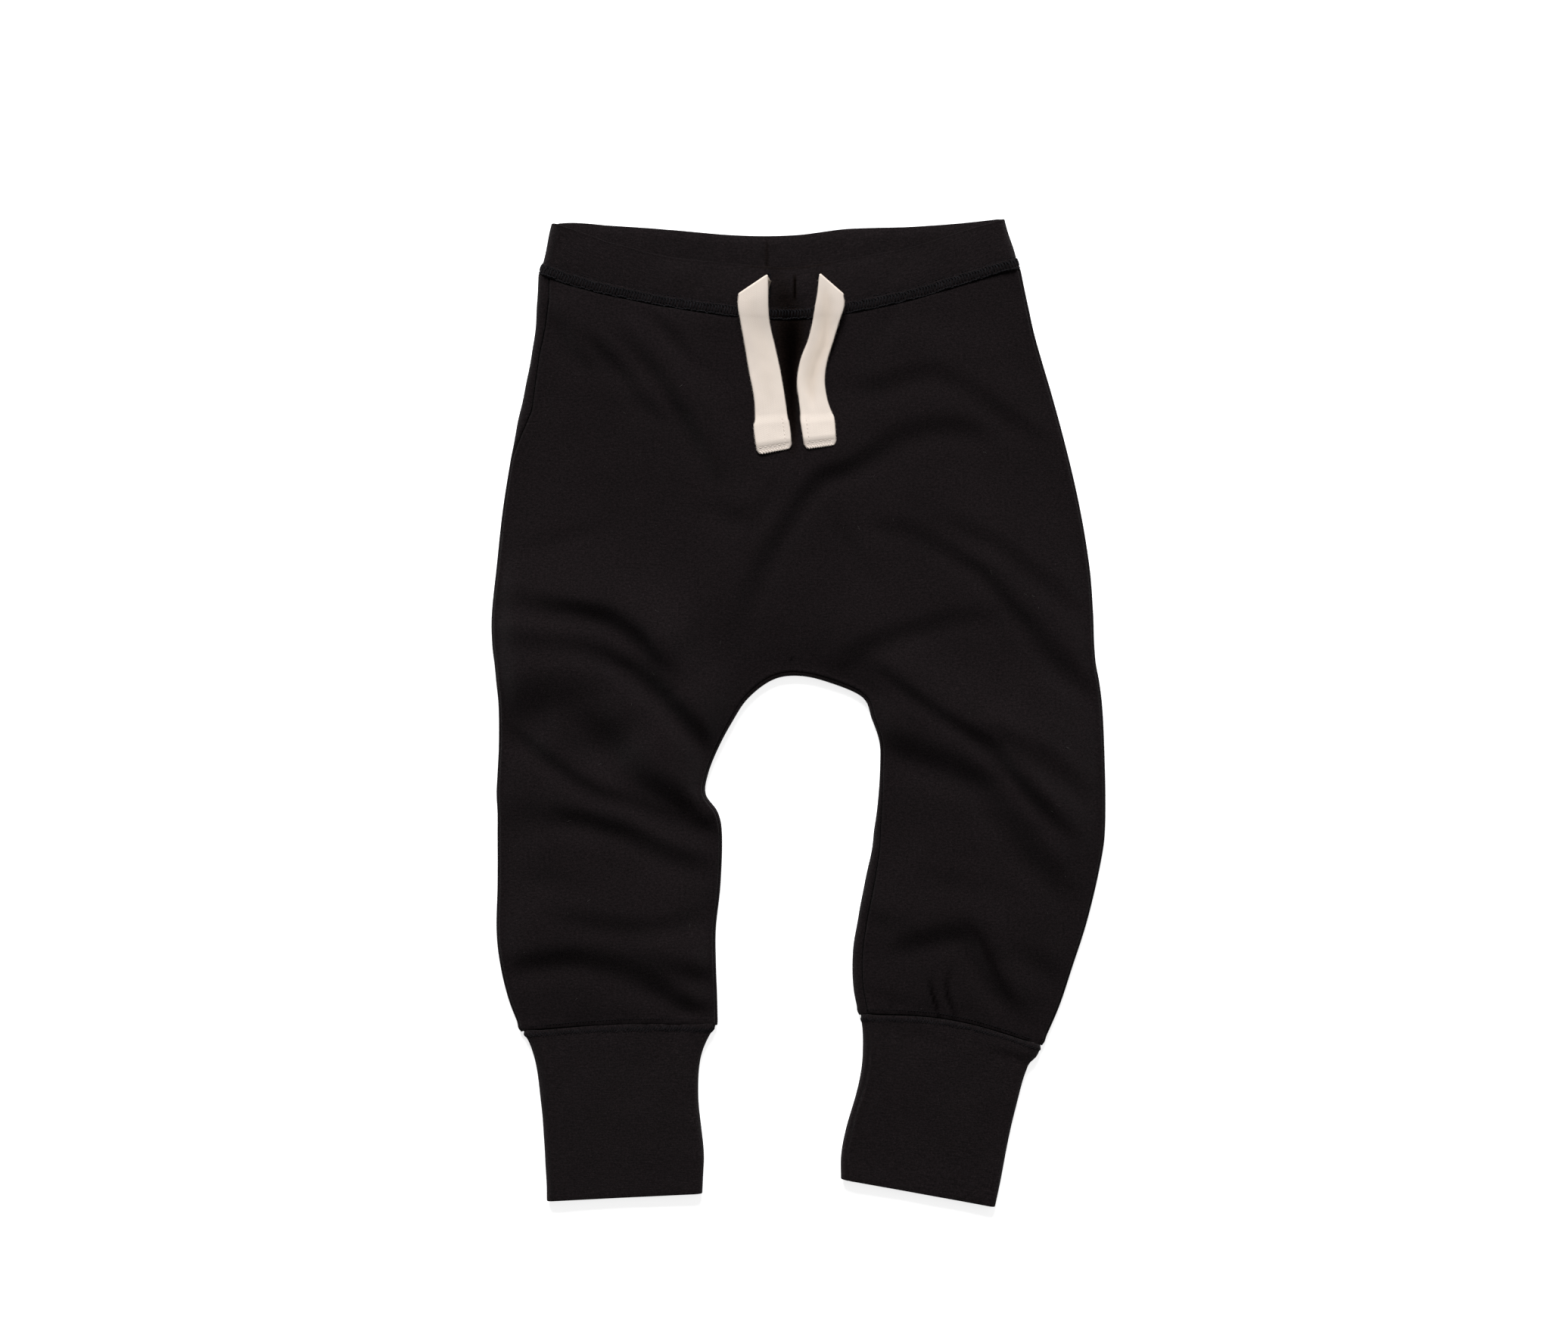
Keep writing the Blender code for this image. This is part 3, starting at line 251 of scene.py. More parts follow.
# The hollow that runs down the body's centre between the drawcord's ends.
Hollow = namedtuple("Hollow", "y x depth left_width right_width")
CENTRE_HOLLOW = (
    Hollow(189.0, -8.5, 0.0, 4.5, 4.5), Hollow(184.0, -8.5, 0.5, 4.5, 4.5),
    Hollow(177.0, -6.5, 1.0, 6.5, 5.0), Hollow(170.0, -4.0, 1.5, 7.5, 6.0),
    Hollow(164.0, -3.0, 2.5, 7.8, 6.2), Hollow(156.0, -2.8, 2.9, 7.0, 5.2),
    Hollow(148.0, -3.2, 2.9, 5.4, 4.0), Hollow(138.0, -3.2, 2.7, 4.0, 3.4),
    Hollow(128.0, -2.8, 2.3, 3.2, 2.8), Hollow(118.0, -2.2, 1.7, 2.8, 2.4),
    Hollow(111.0, -2.0, 0.8, 2.4, 2.2), Hollow(105.0, -2.0, 0.0, 2.4, 2.0),
)

BAND_TOP = 5.2          # top of the waistband's front
BAND_BULGE = 0.6        # by which its middle stands above its seam
BAND_LEAN = 0.9         # by which its folded edge lies lower
CUFF_TOP = 5.0
CUFF_BULGE = 0.5
SIDE_FOLD_REACH = 9.0   # distance over which a side fold's thickness settles


# ---------------------------------------------------------------- curves

def spline(points, t):
    """Points on the smooth curve through points, t counting the points from 0."""
    p = np.array(points, float)
    t = np.atleast_1d(np.asarray(t, float))
    i = np.clip(t.astype(int), 0, len(p) - 2)
    f = (t - i)[:, None]
    p = np.vstack([2 * p[0] - p[1], p, 2 * p[-1] - p[-2]])
    a, b, c, d = p[i], p[i + 1], p[i + 2], p[i + 3]
    bend = 2 * b + (c - a) * f + (2 * a - 5 * b + 4 * c - d) * f ** 2
    return 0.5 * (bend + (3 * b - a - 3 * c + d) * f ** 3)


def lengths_of(line):
    """Length along a line of points, up to each of them."""
    return np.concatenate(([0.0], np.cumsum(np.linalg.norm(np.diff(line, axis=0), axis=1))))


def at_shares(points, first, last, shares):
    """Curve parameters between two of the points at shares of the curve's length there."""
    fine = np.linspace(first, last, 24 * (last - first) + 1)
    lengths = lengths_of(spline(points, fine)[:, :2])
    return np.interp(np.asarray(shares) * lengths[-1], lengths, fine)


def unit(vectors):
    """Vectors at length 1."""
    return vectors / np.maximum(np.linalg.norm(vectors, axis=-1, keepdims=True), 1e-12)


def smooth(low, high, value):
    """0 below low, 1 above high, and a soft step between them."""
    share = np.clip((value - low) / (high - low), 0.0, 1.0)
    return share * share * (3.0 - 2.0 * share)


def bell(value, width):
    """A soft bump of height 1 about 0."""
    return np.exp(-((value / width) ** 2))


def graded(length, step, start=(), end=()):
    """Distances from 0 to length, about step apart, with closer ones at the start and the end."""
    first = start[-1] if start else 0.0
    last = length - (end[-1] if end else 0.0)
    even = np.linspace(first, last, max(2, round((last - first) / step) + 1))
    return np.concatenate((np.array(start[:-1]), even, length - np.array(end[:-1])[::-1]))


def packed(shares, amount):
    """Shares from 0 to 1, moved closer to each other near the ends, or near the middle if amount < 0."""
    return shares - amount * np.sin(2.0 * math.pi * shares) / (2.0 * math.pi)


def read_down(table, y):
    """A table's columns at y. Its first column is y, from the waist down."""
    first, *columns = zip(*table)
    return [np.interp(-y, -np.array(first), column) for column in columns]


def waist_at(x):
    """The waist's stations at x, from the smooth curve through them."""
    t = np.interp(x, [s.x for s in WAIST], range(len(WAIST)))
    return Station(*spline(WAIST, np.ravel(t)).T.reshape((len(Station._fields),) + np.shape(x)))


def nearest_on(line, x, y):
    """For each point, its side distance from a line (left is +), and its place along it in segments."""
    a, b = line[:-1], line[1:]
    along = b - a
    square = np.maximum((along ** 2).sum(1), 1e-12)
    from_x = x[:, None] - a[:, 0]
    from_y = y[:, None] - a[:, 1]
    share = np.clip((from_x * along[:, 0] + from_y * along[:, 1]) / square, 0.0, 1.0)
    gap = np.hypot(from_x - share * along[:, 0], from_y - share * along[:, 1])
    best = gap.argmin(1)
    pick = np.arange(len(x)), best
    left = along[best, 0] * from_y[pick] - along[best, 1] * from_x[pick] >= 0.0
    return np.where(left, gap[pick], -gap[pick]), best + share[pick]


def read_grid(grid, row, column):
    """A grid's values between its points. Its last column joins its first."""
    r, c = np.minimum(row.astype(int), len(grid) - 2), column.astype(int) % grid.shape[1]
    down, across = (row - r)[..., None], (column - column.astype(int))[..., None]
    beside = (c + 1) % grid.shape[1]
    near = grid[r, c] * (1 - across) + grid[r, beside] * across
    return near * (1 - down) + (grid[r + 1, c] * (1 - across) + grid[r + 1, beside] * across) * down


# ---------------------------------------------------------------- rows of a panel

ROW_STEP = 1.65         # between the rows of a panel
SEAM_ROWS = (0.0, 0.3, 0.65, 1.1, 1.7, 2.5, 3.5, 4.8, 6.3)     # rows from a seam
BODY_LENGTH = 166.0     # down the side, from the waist seam to the arch's height
LEG_LENGTH = 172.0      # down the inner leg, from the arch's top to the cuff seam
BODY_ROWS = graded(BODY_LENGTH, ROW_STEP, start=SEAM_ROWS)
LEG_ROWS = graded(LEG_LENGTH, ROW_STEP, end=SEAM_ROWS)
ARCH_ROW = len(BODY_ROWS) - 1
ROW_COUNT = len(BODY_ROWS) + len(LEG_ROWS) - 1

QUARTER = PANEL_ROLL * math.pi / 2      # length of a soft edge from the silhouette to the level cloth
EDGE_ZONE = 8.2                         # length from the silhouette within which columns follow the edge
ROW_TURNS_BY = 40                       # rows below the arch over which the edge columns turn

Half = namedtuple("Half", "out out_normal inner inner_normal follow bow")


def half_rows(own, other, left, back):
    """The rows of one half, from the waist seam to the cuff seam: their ends and the normals there."""
    apex = next(i for i, s in enumerate(own) if s.in_y == APEX_Y)
    own = list(own)
    if back:
        own[:len(BACK_RISE)] = [s._replace(in_y=s.in_y + rise) for s, rise in zip(own, BACK_RISE)]
    outer = [(s.out_x, s.out_y) for s in own]
    arch = [(other[apex + 1].in_x, other[apex + 1].in_y)] + [(s.in_x, s.in_y) for s in own[apex:]]
    body_t = at_shares(outer, 0, apex, BODY_ROWS / BODY_LENGTH)
    leg_t = at_shares(arch, 1, len(arch) - 1, LEG_ROWS / LEG_LENGTH) + (apex - 1)
    t = np.concatenate((body_t, leg_t[1:]))
    reach = 0.05
    ahead, behind = np.minimum(t + reach, len(outer) - 1), np.maximum(t - reach, 0)
    tangent = unit(spline(outer, ahead) - spline(outer, behind))
    turn = np.array([1.0, -1.0]) if left else np.array([-1.0, 1.0])
    out_normal = tangent[:, ::-1] * turn
    s = leg_t - apex + 1
    tangent = unit(spline(arch, np.minimum(s + reach, len(arch) - 1)) - spline(arch, s - reach))
    inner_normal = np.zeros((ROW_COUNT, 2))
    inner_normal[ARCH_ROW:] = -tangent[:, ::-1] * turn
    inner_normal[ARCH_ROW] = (0.0, -1.0)
    centre = spline([(s.in_x, s.in_y) for s in own[:apex + 1]], body_t)
    edge_reach = PANEL_ROLL + EDGE_ZONE - QUARTER
    squeeze = (centre[0, 1] - APEX_Y - edge_reach) / (centre[0, 1] - APEX_Y)
    centre[:, 1] = centre[0, 1] - (centre[0, 1] - centre[:, 1]) * squeeze
    inner = np.vstack((centre[:-1], spline(arch, s)))
    extra = spline([(s.follow, s.bow) for s in own], t)
    return Half(spline(outer, t), out_normal, inner, inner_normal, extra[:, 0], extra[:, 1])


OUTLINES = []
for half in (half_rows(LEFT_SECTIONS, RIGHT_SECTIONS, True, False),
             half_rows(RIGHT_SECTIONS, LEFT_SECTIONS, False, False)):
    OUTLINES.append(half.out[::4])
    OUTLINES.append(half.inner[ARCH_ROW::4])


def edge_distance(x, y):
    """Distance from each point to the nearest edge of the silhouette."""
    return np.min([np.abs(nearest_on(line, x, y)[0]) for line in OUTLINES], axis=0)


# ---------------------------------------------------------------- heights

def fold_relief(fold, x, y):
    """What one fold adds at each point."""
    added = np.zeros_like(x)
    count = 8 * (len(fold.points) - 1) + 1
    line_x, line_y, heights, widths = spline(fold.points, np.linspace(0, len(fold.points) - 1, count)).T
    reach = FOLD_REACH * widths.max()
    near = (x > line_x.min() - reach) & (x < line_x.max() + reach)
    near &= (y > line_y.min() - reach) & (y < line_y.max() + reach)
    near_x, near_y = x[near], y[near]
    side = nearest_on(np.column_stack((line_x, line_y)), near_x, near_y)[0]
    gaps = np.hypot(near_x[:, None] - line_x, near_y[:, None] - line_y)
    shares = bell(gaps - gaps.min(1, keepdims=True), FOLD_BLEND)
    shares /= shares.sum(1, keepdims=True)
    side = side / (shares @ widths)
    crest = bell(side - 1.0, np.where(side > 1.0, CREST_SPREAD, 1.0))
    added[near] = (shares @ np.maximum(heights, 0.0)) * (crest - TROUGH_SHARE * bell(side + 0.7, 0.8))
    return added


def waves(x, y, seed, count, shortest, longest):
    """Soft unevenness of about height 1, from waves in all directions."""
    draw = np.random.default_rng(seed)
    total = np.zeros_like(x)
    for _ in range(count):
        angle, phase = draw.uniform(0.0, 2.0 * math.pi, 2)
        size = 2.0 * math.pi / draw.uniform(shortest, longest)
        total += np.sin(size * (x * math.cos(angle) + y * math.sin(angle)) + phase)
    return total / math.sqrt(count)


HOLLOW_FULL = 3.2       # depth of the hollow from which hardly any light comes back


def hollow_depth(x, y):
    """Depth of the hollow between the drawcord's ends at each point."""
    centre, depth, left, right = read_down(CENTRE_HOLLOW, y)
    return depth * bell(x - centre, np.where(x < centre, left, right))


def crease_depth(x, y):
    """Depth of the narrow creases at each point."""
    return -sum(np.minimum(fold_relief(f, x, y), 0.0) for f in CREASES)


def front_top(x, y):
    """Height of the front's upper face above the surface."""
    x, y = np.asarray(x, float), np.asarray(y, float)
    edge = edge_distance(x, y)
    rise = read_down(RISE, y)[0] * (1.0 - bell(edge, RISE_REACH))
    folds = sum(fold_relief(f, x, y) for f in FOLDS)
    folds -= crease_depth(x, y) + hollow_depth(x, y)
    folds *= FOLD_EDGE_SHARE + (1.0 - FOLD_EDGE_SHARE) * (1.0 - bell(edge, FOLD_EDGE_REACH))
    spare = 2.0 * PANEL_ROLL + rise + folds - FRONT_LOWEST
    return FRONT_LOWEST + 0.5 * (spare + np.sqrt(spare * spare + 0.6))


def held_by_seam(top, from_hem):
    """The front's height near the cuffs' seams, which hold it level with the cuffs."""
    return top + (HEM_TOP - top) * bell(from_hem, HEM_REACH)


def band_top(seam_x, share, at):
    """Height of the upper face of the waistband's front, share of the way up from its seam."""
    height = BAND_TOP + BAND_BULGE * np.sin(math.pi * share) + (at.lift - BAND_LEAN) * share ** 2
    side = np.minimum(seam_x - WAIST[0].x, WAIST[-1].x - seam_x)
    return height + (2.0 * BAND_ROLL - height) * bell(side, SIDE_FOLD_REACH)


def cloth_top(x, y):
    """The upper face of whatever cloth is at each point, waistband or front."""
    at = waist_at(x)
    share = np.clip((y - at.front_seam) / (at.front_top - at.front_seam), 0.0, 1.0)
    on_band = y > at.front_seam - 0.5
    return np.where(on_band, band_top(x, share, at) + BAND_RIDGE, front_top(x, y))


# ---------------------------------------------------------------- meshes

def vertex_normals(points, quads):
    """Unit normals at the points of a mesh of quads."""
    a, b, c, d = (points[quads[:, i]] for i in range(4))
    faces = np.cross(c - a, d - b)
    normals = np.zeros_like(points)
    for i in range(4):
        np.add.at(normals, quads[:, i], faces)
    return unit(normals)


def grid_quads(number):
    """Quads of a grid, from the index of each of its points, or -1 where it has none."""
    corners = number[:-1, :-1], number[:-1, 1:], number[1:, 1:], number[1:, :-1]
    quads = np.stack(corners, axis=-1).reshape(-1, 4)
    return quads[(quads >= 0).all(1)]


def open_edges(quads, count):
    """The edges that only one quad has, in that quad's direction."""
    starts, ends = quads.ravel(), np.roll(quads, -1, axis=1).ravel()
    keys = np.minimum(starts, ends).astype(np.int64) * count + np.maximum(starts, ends)
    _, first, times = np.unique(keys, return_index=True, return_counts=True)
    single = first[times == 1]
    return starts[single], ends[single]


def add_object(name, data):
    """A new object in the scene."""
    built = bpy.data.objects.new(name, data)
    bpy.context.scene.collection.objects.link(built)
    return built


def add_mesh(name, points, faces, material, cloth=None):
    """A smooth mesh from points in millimetres. cloth is each point's place on its flat cloth, and its painted
    shade.
    """
    mesh = bpy.data.meshes.new(name)
    mesh.from_pydata((np.asarray(points) * MM).tolist(), [], faces)
    mesh.shade_smooth()
    mesh.materials.append(material)
    if cloth is not None:
        attribute = mesh.attributes.new("cloth", "FLOAT_VECTOR", "POINT")
        attribute.data.foreach_set("vector", np.asarray(cloth, np.float32).ravel())
    mesh.update()
    return add_object(name, mesh)


def add_wall(name, points, quads, wall, material, cloth):
    """A closed shell: the outer face, the same face a wall further in, and the rim between them."""
    normals = vertex_normals(points, quads)
    inside = points - normals * np.reshape(wall, (-1, 1))
    count = len(points)
    a, b = open_edges(quads, count)
    rim = np.stack((b, a, a + count, b + count), axis=1)
    faces = np.vstack((quads, quads[:, ::-1] + count, rim))
    return add_mesh(name, np.vstack((points, inside)), faces.tolist(), material, np.vstack((cloth, cloth)))


def add_threads(name, paths, radius, material, sides=6, taper=0.55):
    """Many threads in one mesh. paths has each thread's points, all with the same number of them."""
    count, steps, _ = paths.shape
    tangent = unit(np.gradient(paths, axis=1))
    side = unit(np.cross(tangent, (0.0, 0.0, 1.0)))
    over = np.cross(side, tangent)
    angle = np.arange(sides) * 2.0 * math.pi / sides
    size = np.full(steps, float(radius))
    size[[0, -1]] = radius * taper
    ring = side[:, :, None] * np.cos(angle)[:, None] + over[:, :, None] * np.sin(angle)[:, None]
    points = (paths[:, :, None] + ring * size[:, None, None]).reshape(-1, 3)
    number = np.arange(count * steps * sides).reshape(count, steps, sides)
    turned = np.roll(number, -1, axis=2)
    sleeves = np.stack((number[:, :-1], turned[:, :-1], turned[:, 1:], number[:, 1:]), axis=-1).reshape(-1, 4)
    caps = number[:, 0, ::-1].tolist() + number[:, -1].tolist()
    return add_mesh(name, points, sleeves.tolist() + caps, material)


# ---------------------------------------------------------------- materials

class Value:
    """A number that varies over a surface. Arithmetic on it adds the nodes that work it out."""

    def __init__(self, graph, socket):
        self.graph = graph
        self.socket = socket

    def __add__(self, other):
        return self.graph.math("ADD", self, other)

    def __sub__(self, other):
        return self.graph.math("SUBTRACT", self, other)

    def __mul__(self, other):
        return self.graph.math("MULTIPLY", self, other)

    def __truediv__(self, other):
        return self.graph.math("DIVIDE", self, other)


class Graph:
    """A material's nodes, with short ways to work with numbers that vary over the surface."""

    def __init__(self, name):
        self.material = bpy.data.materials.new(name)
        self.material.use_nodes = True
        self.tree = self.material.node_tree
        self.shader = self.tree.nodes["Principled BSDF"]

    def node(self, kind, *inputs, output=0, **settings):
        """One output of a new node. inputs are pairs of an input's name or number and its value."""
        made = self.tree.nodes.new("ShaderNode" + kind)
        for key, value in settings.items():
            setattr(made, key, value)
        self.fill(made, *inputs)
        return Value(self, made.outputs[output])

    def fill(self, made, *inputs):
        """Link or set some inputs of a node."""
        for slot, value in inputs:
            if isinstance(value, Value):
                self.tree.links.new(value.socket, made.inputs[slot])
            else:
                made.inputs[slot].default_value = value

    def math(self, operation, *values):
        """What a Math node makes of one or two numbers."""
        return self.node("Math", *enumerate(values), operation=operation)

    def vector(self, x, y, z=0.0):
        """A place, from its three numbers."""
        return self.node("CombineXYZ", (0, x), (1, y), (2, z))

    def noise(self, vector, scale, detail=2.0, roughness=0.5):
        """Soft noise from 0 to 1."""
        return self.node("TexNoise", ("Vector", vector), ("Scale", scale), ("Detail", detail),
                         ("Roughness", roughness), output="Fac")

    def spread(self, value, low, high, to_low, to_high):
        """value, moved from one range to another, and held inside it."""
        return self.node("MapRange", (0, value), (1, low), (2, high), (3, to_low), (4, to_high), clamp=True)

    def tint(self, colour, factor):
        """A colour, made lighter or darker by a factor."""
        return self.node("VectorMath", (0, colour), ("Scale", factor), operation="SCALE")

    def mix(self, factor, a, b):
        """A blend of two colours, b at a factor of 1."""
        return self.node("Mix", ("Factor", factor), (6, a), (7, b), output=2, data_type="RGBA")

    def place(self):
        """The place on the piece, in metres."""
        return self.node("TexCoord", output="Object")

    def part(self, vector, axis):
        """One of a place's three numbers."""
        return self.node("SeparateXYZ", (0, vector), output=axis)

    def cloth(self):
        """The two directions on the flat cloth, in millimetres, and the painted shade: how deep in a hollow or
        seam it lies.
        """
        place = self.node("Attribute", attribute_name="cloth", output="Vector")
        return [self.part(place, axis) for axis in range(3)]

    def finish(self, colour, roughness, height, depth_mm, specular, sheen):
        """Give the shader its looks. height, times depth_mm, is the relief."""
        bump = self.node("Bump", ("Height", height), ("Strength", 1.0), ("Distance", depth_mm * MM))
        self.fill(self.shader, ("Base Color", colour), ("Roughness", roughness), ("Normal", bump),
                  ("Specular IOR Level", specular), ("Sheen Weight", sheen), ("Sheen Roughness", 0.5))
        return self.material


CLOTH_BLACK = (0.0087, 0.0063, 0.0069)
BAND_BLACK = (0.0101, 0.0075, 0.0081)
THREAD_BLACK = (0.0102, 0.0097, 0.0109)
PAINTED_TAPE_REFLECTION = (0.0102, 0.0066, 0.0056)     # painted warm reflection of the cream tape, on the shaded cloth between the drawcord's ends
LINT_GREY = (0.10, 0.095, 0.09)
TAPE_CREAM = (0.765, 0.685, 0.62)
TAPE_SHADE = (0.62, 0.50, 0.39)
HOLLOW_X = -4.0         # middle of the hollow, about which the painted reflection of the tape lies
REFLECTION_FROM, REFLECTION_TO = 14.0, 20.0     # distances from there over which the painted reflection fades out
DEEP_SHADE = 0.05       # brightness deep in the hollow and in the seams, where little light gets
CHEVRON_WIDE = 1.05     # width of a column of the drawcord's herringbone
CHEVRON_PITCH = 0.85    # between its ribs, along the tape


def knit(name, colour, wale, course, depth, streak):
    """Weft knit: columns of small V stitches, with the flecks and uneven courses of a cotton yarn.

    wale and course are the sizes of a stitch, depth is its relief and streak how much the courses vary."""
    g = Graph(name)
    u, v, painted_shade = g.cloth()
    place = g.vector(u, v)
    drift = g.noise(place, 0.11, 1.0) - 0.5     # columns and courses wander a little
    u = u + drift * 1.6
    v = v + drift * 1.2
    off_centre = g.math("ABSOLUTE", g.math("FRACT", u / wale) - 0.5)
    leg = g.math("SINE", off_centre * (2.0 * math.pi))
    row = g.math("FRACT", v / course + off_centre * 1.7)    # so the legs of a V slant
    loop = g.math("SINE", row * math.pi)
    stitch = g.math("POWER", leg, 0.6) * (loop * 0.6 + 0.4)
    yarn = g.noise(g.vector(u * 0.22, v * 1.9), 1.0, 2.0, 0.6)
    fleck = g.noise(place, 1.9, 2.0, 0.7)
    heather = g.noise(g.vector(u * 0.7, v, 3.0), 1.3, 2.0, 0.7)
    patch = g.noise(place, 0.045, 3.0)
    lint = g.noise(g.vector(u * 0.9, v, 7.0), 1.4, 0.0)
    light = (stitch * 0.75 + 0.55) * g.spread(yarn, 0.3, 0.7, 1.0 - streak, 1.0 + streak)
    light = light * g.spread(fleck, 0.25, 0.75, 0.55, 1.5)
    light = light * g.spread(heather, 0.25, 0.75, 0.45, 1.65)
    light = light * g.spread(patch, 0.3, 0.7, 0.93, 1.07)
    light = light + g.spread(lint, 0.77, 0.9, 0.0, 1.6)     # only the noise's peaks show, as pale specks
    # painted shade: the colour is darkened in the hollow, the creases, the seams and on the folded edges
    light = light * g.spread(painted_shade, 0.0, 1.0, 1.0, DEEP_SHADE)
    # painted warm reflection of the cream tape, on the shaded cloth of the hollow
    aside = g.math("ABSOLUTE", g.part(g.place(), 0) - HOLLOW_X * MM)
    painted_reflection = g.spread(painted_shade, 0.05, 0.5, 0.0, 1.0) * g.spread(aside, REFLECTION_FROM * MM, REFLECTION_TO * MM, 1.0, 0.0)
    with_painted_reflection = g.mix(painted_reflection, (*colour, 1.0), (*PAINTED_TAPE_REFLECTION, 1.0))
    # the painted shade also takes away the specular and the sheen
    specular, sheen = (g.spread(painted_shade, 0.0, 0.8, level, 0.0) for level in (0.03, 0.035))
    return g.finish(g.tint(with_painted_reflection, light), 0.92, stitch + fleck * 0.9, depth, specular, sheen)


def thread(name, colour, specular, uneven):
    """Sewing thread, with the turns of its twist. uneven is how much its brightness varies."""
    g = Graph(name)
    twist = g.noise(g.place(), 2600.0, 1.0)
    lump = g.noise(g.place(), 450.0, 1.0)
    light = g.spread(twist, 0.3, 0.7, 1.0 - uneven, 1.0 + uneven)
    light = light * g.spread(lump, 0.3, 0.7, 1.0 - 0.6 * uneven, 1.0 + 0.6 * uneven)
    return g.finish(g.tint(colour, light), 0.95, twist, 0.14, specular, 0.01)


def herringbone():
    """The drawcord's cotton: short soft yarns in slanting rows, with painted tan shade where the tape is bent.
    """
    g = Graph("tape_cream")
    u, v, painted_shade = g.cloth()
    place = g.vector(u, v)
    bend = (g.noise(place, 0.9, 2.0) - 0.5) * 0.5
    slant = (v + bend + g.math("PINGPONG", u, CHEVRON_WIDE)) / CHEVRON_PITCH
    ridge = (g.math("SINE", slant * (2.0 * math.pi)) + 1.0) * 0.5
    shown = g.math("SINE", g.math("FRACT", u / CHEVRON_WIDE) * math.pi)
    knot = ridge * (shown * 0.7 + 0.3)
    yarn = g.noise(place, 2.6, 3.0, 0.65)
    patch = g.noise(place, 0.12, 2.0)
    share = g.spread(knot, 0.0, 0.7, 0.0, 1.0) * g.spread(yarn, 0.3, 0.7, 0.75, 1.0)
    # painted shade pulls the colour towards the tan and darkens it
    share = share * 0.26 + 0.74 - painted_shade * 0.62
    colour = g.mix(share, (*TAPE_SHADE, 1.0), (*TAPE_CREAM, 1.0))
    colour = g.tint(colour, g.spread(patch, 0.3, 0.7, 0.96, 1.04))
    colour = g.tint(colour, g.spread(painted_shade, 0.5, 1.0, 1.0, 0.55))
    return g.finish(colour, 0.85, knot + yarn, 0.03, 0.1, 0.05)


KNIT = knit("knit_black", CLOTH_BLACK, 0.5, 0.42, 0.10, 0.12)
BAND_KNIT = knit("band_knit_black", BAND_BLACK, 0.8, 0.55, 0.16, 0.25)
THREAD = thread("thread_black", THREAD_BLACK, 0.02, 0.45)
LINT = thread("lint_grey", LINT_GREY, 0.1, 0.3)
TAPE = herringbone()
TAPE_THREAD = thread("thread_cream", TAPE_CREAM, 0.1, 0.1)

# ---------------------------------------------------------------- front and back

LEVEL_COLUMNS = 64      # of the front, between its edge zones
BACK_COLUMNS = 26
EDGE_COLUMNS = np.array((0.0, 0.2, 0.45, 0.8, 1.25, 1.8, 2.5, 3.3, 4.2, 5.3, 6.7, EDGE_ZONE))
WRAP_COLUMNS = np.array((1.0, 0.93, 0.82, 0.65, 0.4, 0.15, 0.0))   # of the back's strip above the edge
UNDER_COLUMNS = np.array((0.6, 1.2, 1.8, 2.4, 3.0, QUARTER, 5.5, EDGE_ZONE))
SEAM_SLIT = 0.08        # half the gap between front and back at their seam
WAIST_ROWS = 90         # upper rows, which follow the waist's curve
FAR = 999.0             # stands for the distance to a seam that isn't near

# Where the seam between front and back shows: its distance from the silhouette, on the upper side.
SEAM_OFFSETS = {
    "left_out": ((190.0, 4.4), (176.0, 4.8), (164.0, 4.2), (152.0, 3.4), (140.0, 4.0), (128.0, 4.8),
                 (108.0, 0.5), (-140.0, 0.5)),
    "left_in": ((30.0, 1.7), (-5.0, 1.3), (-25.0, 0.7), (-140.0, 0.6)),
    "right_out": ((190.0, 0.5), (-150.0, 0.5)),
    "right_in": ((30.0, 1.7), (0.0, 1.2), (-25.0, 0.8), (-50.0, 2.6), (-70.0, 3.9), (-120.0, 4.1),
                 (-140.0, 3.2)),
}


def arc_of(plan_distance):
    """Length over the soft edge that shows as a distance in plan from the silhouette."""
    on_roll = PANEL_ROLL * np.arccos(np.clip(1.0 - plan_distance / PANEL_ROLL, 0.0, 1.0))
    return np.where(plan_distance < PANEL_ROLL, on_roll, QUARTER + plan_distance - PANEL_ROLL)


def seam_arc(which, y):
    """Length from the silhouette up to the seam, for rows at y."""
    return arc_of(read_down(SEAM_OFFSETS[which], y)[0])


def edge_columns(edge, normal, inwards, arcs):
    """Points of the edge columns: arcs (rows, columns) is the length from the silhouette, below it if < 0.

    Gives the plan, where the level cloth is read, the flat place, and the share of the height."""
    turn = np.minimum(np.abs(arcs) / PANEL_ROLL, math.pi / 2)[..., None]
    beyond = np.maximum(np.abs(arcs) - QUARTER, 0.0)[..., None]
    normal, start = normal[:, None], (edge - normal * PANEL_ROLL)[:, None]
    plan = start + normal * PANEL_ROLL * np.cos(turn) + inwards[:, None] * beyond
    level = start + inwards[:, None] * beyond
    flat = start + normal * np.maximum(QUARTER - arcs, 0.0)[..., None] + inwards[:, None] * beyond
    return plan, level, flat, np.sin(turn[..., 0]) * np.where(arcs < 0.0, -1.0, 1.0)


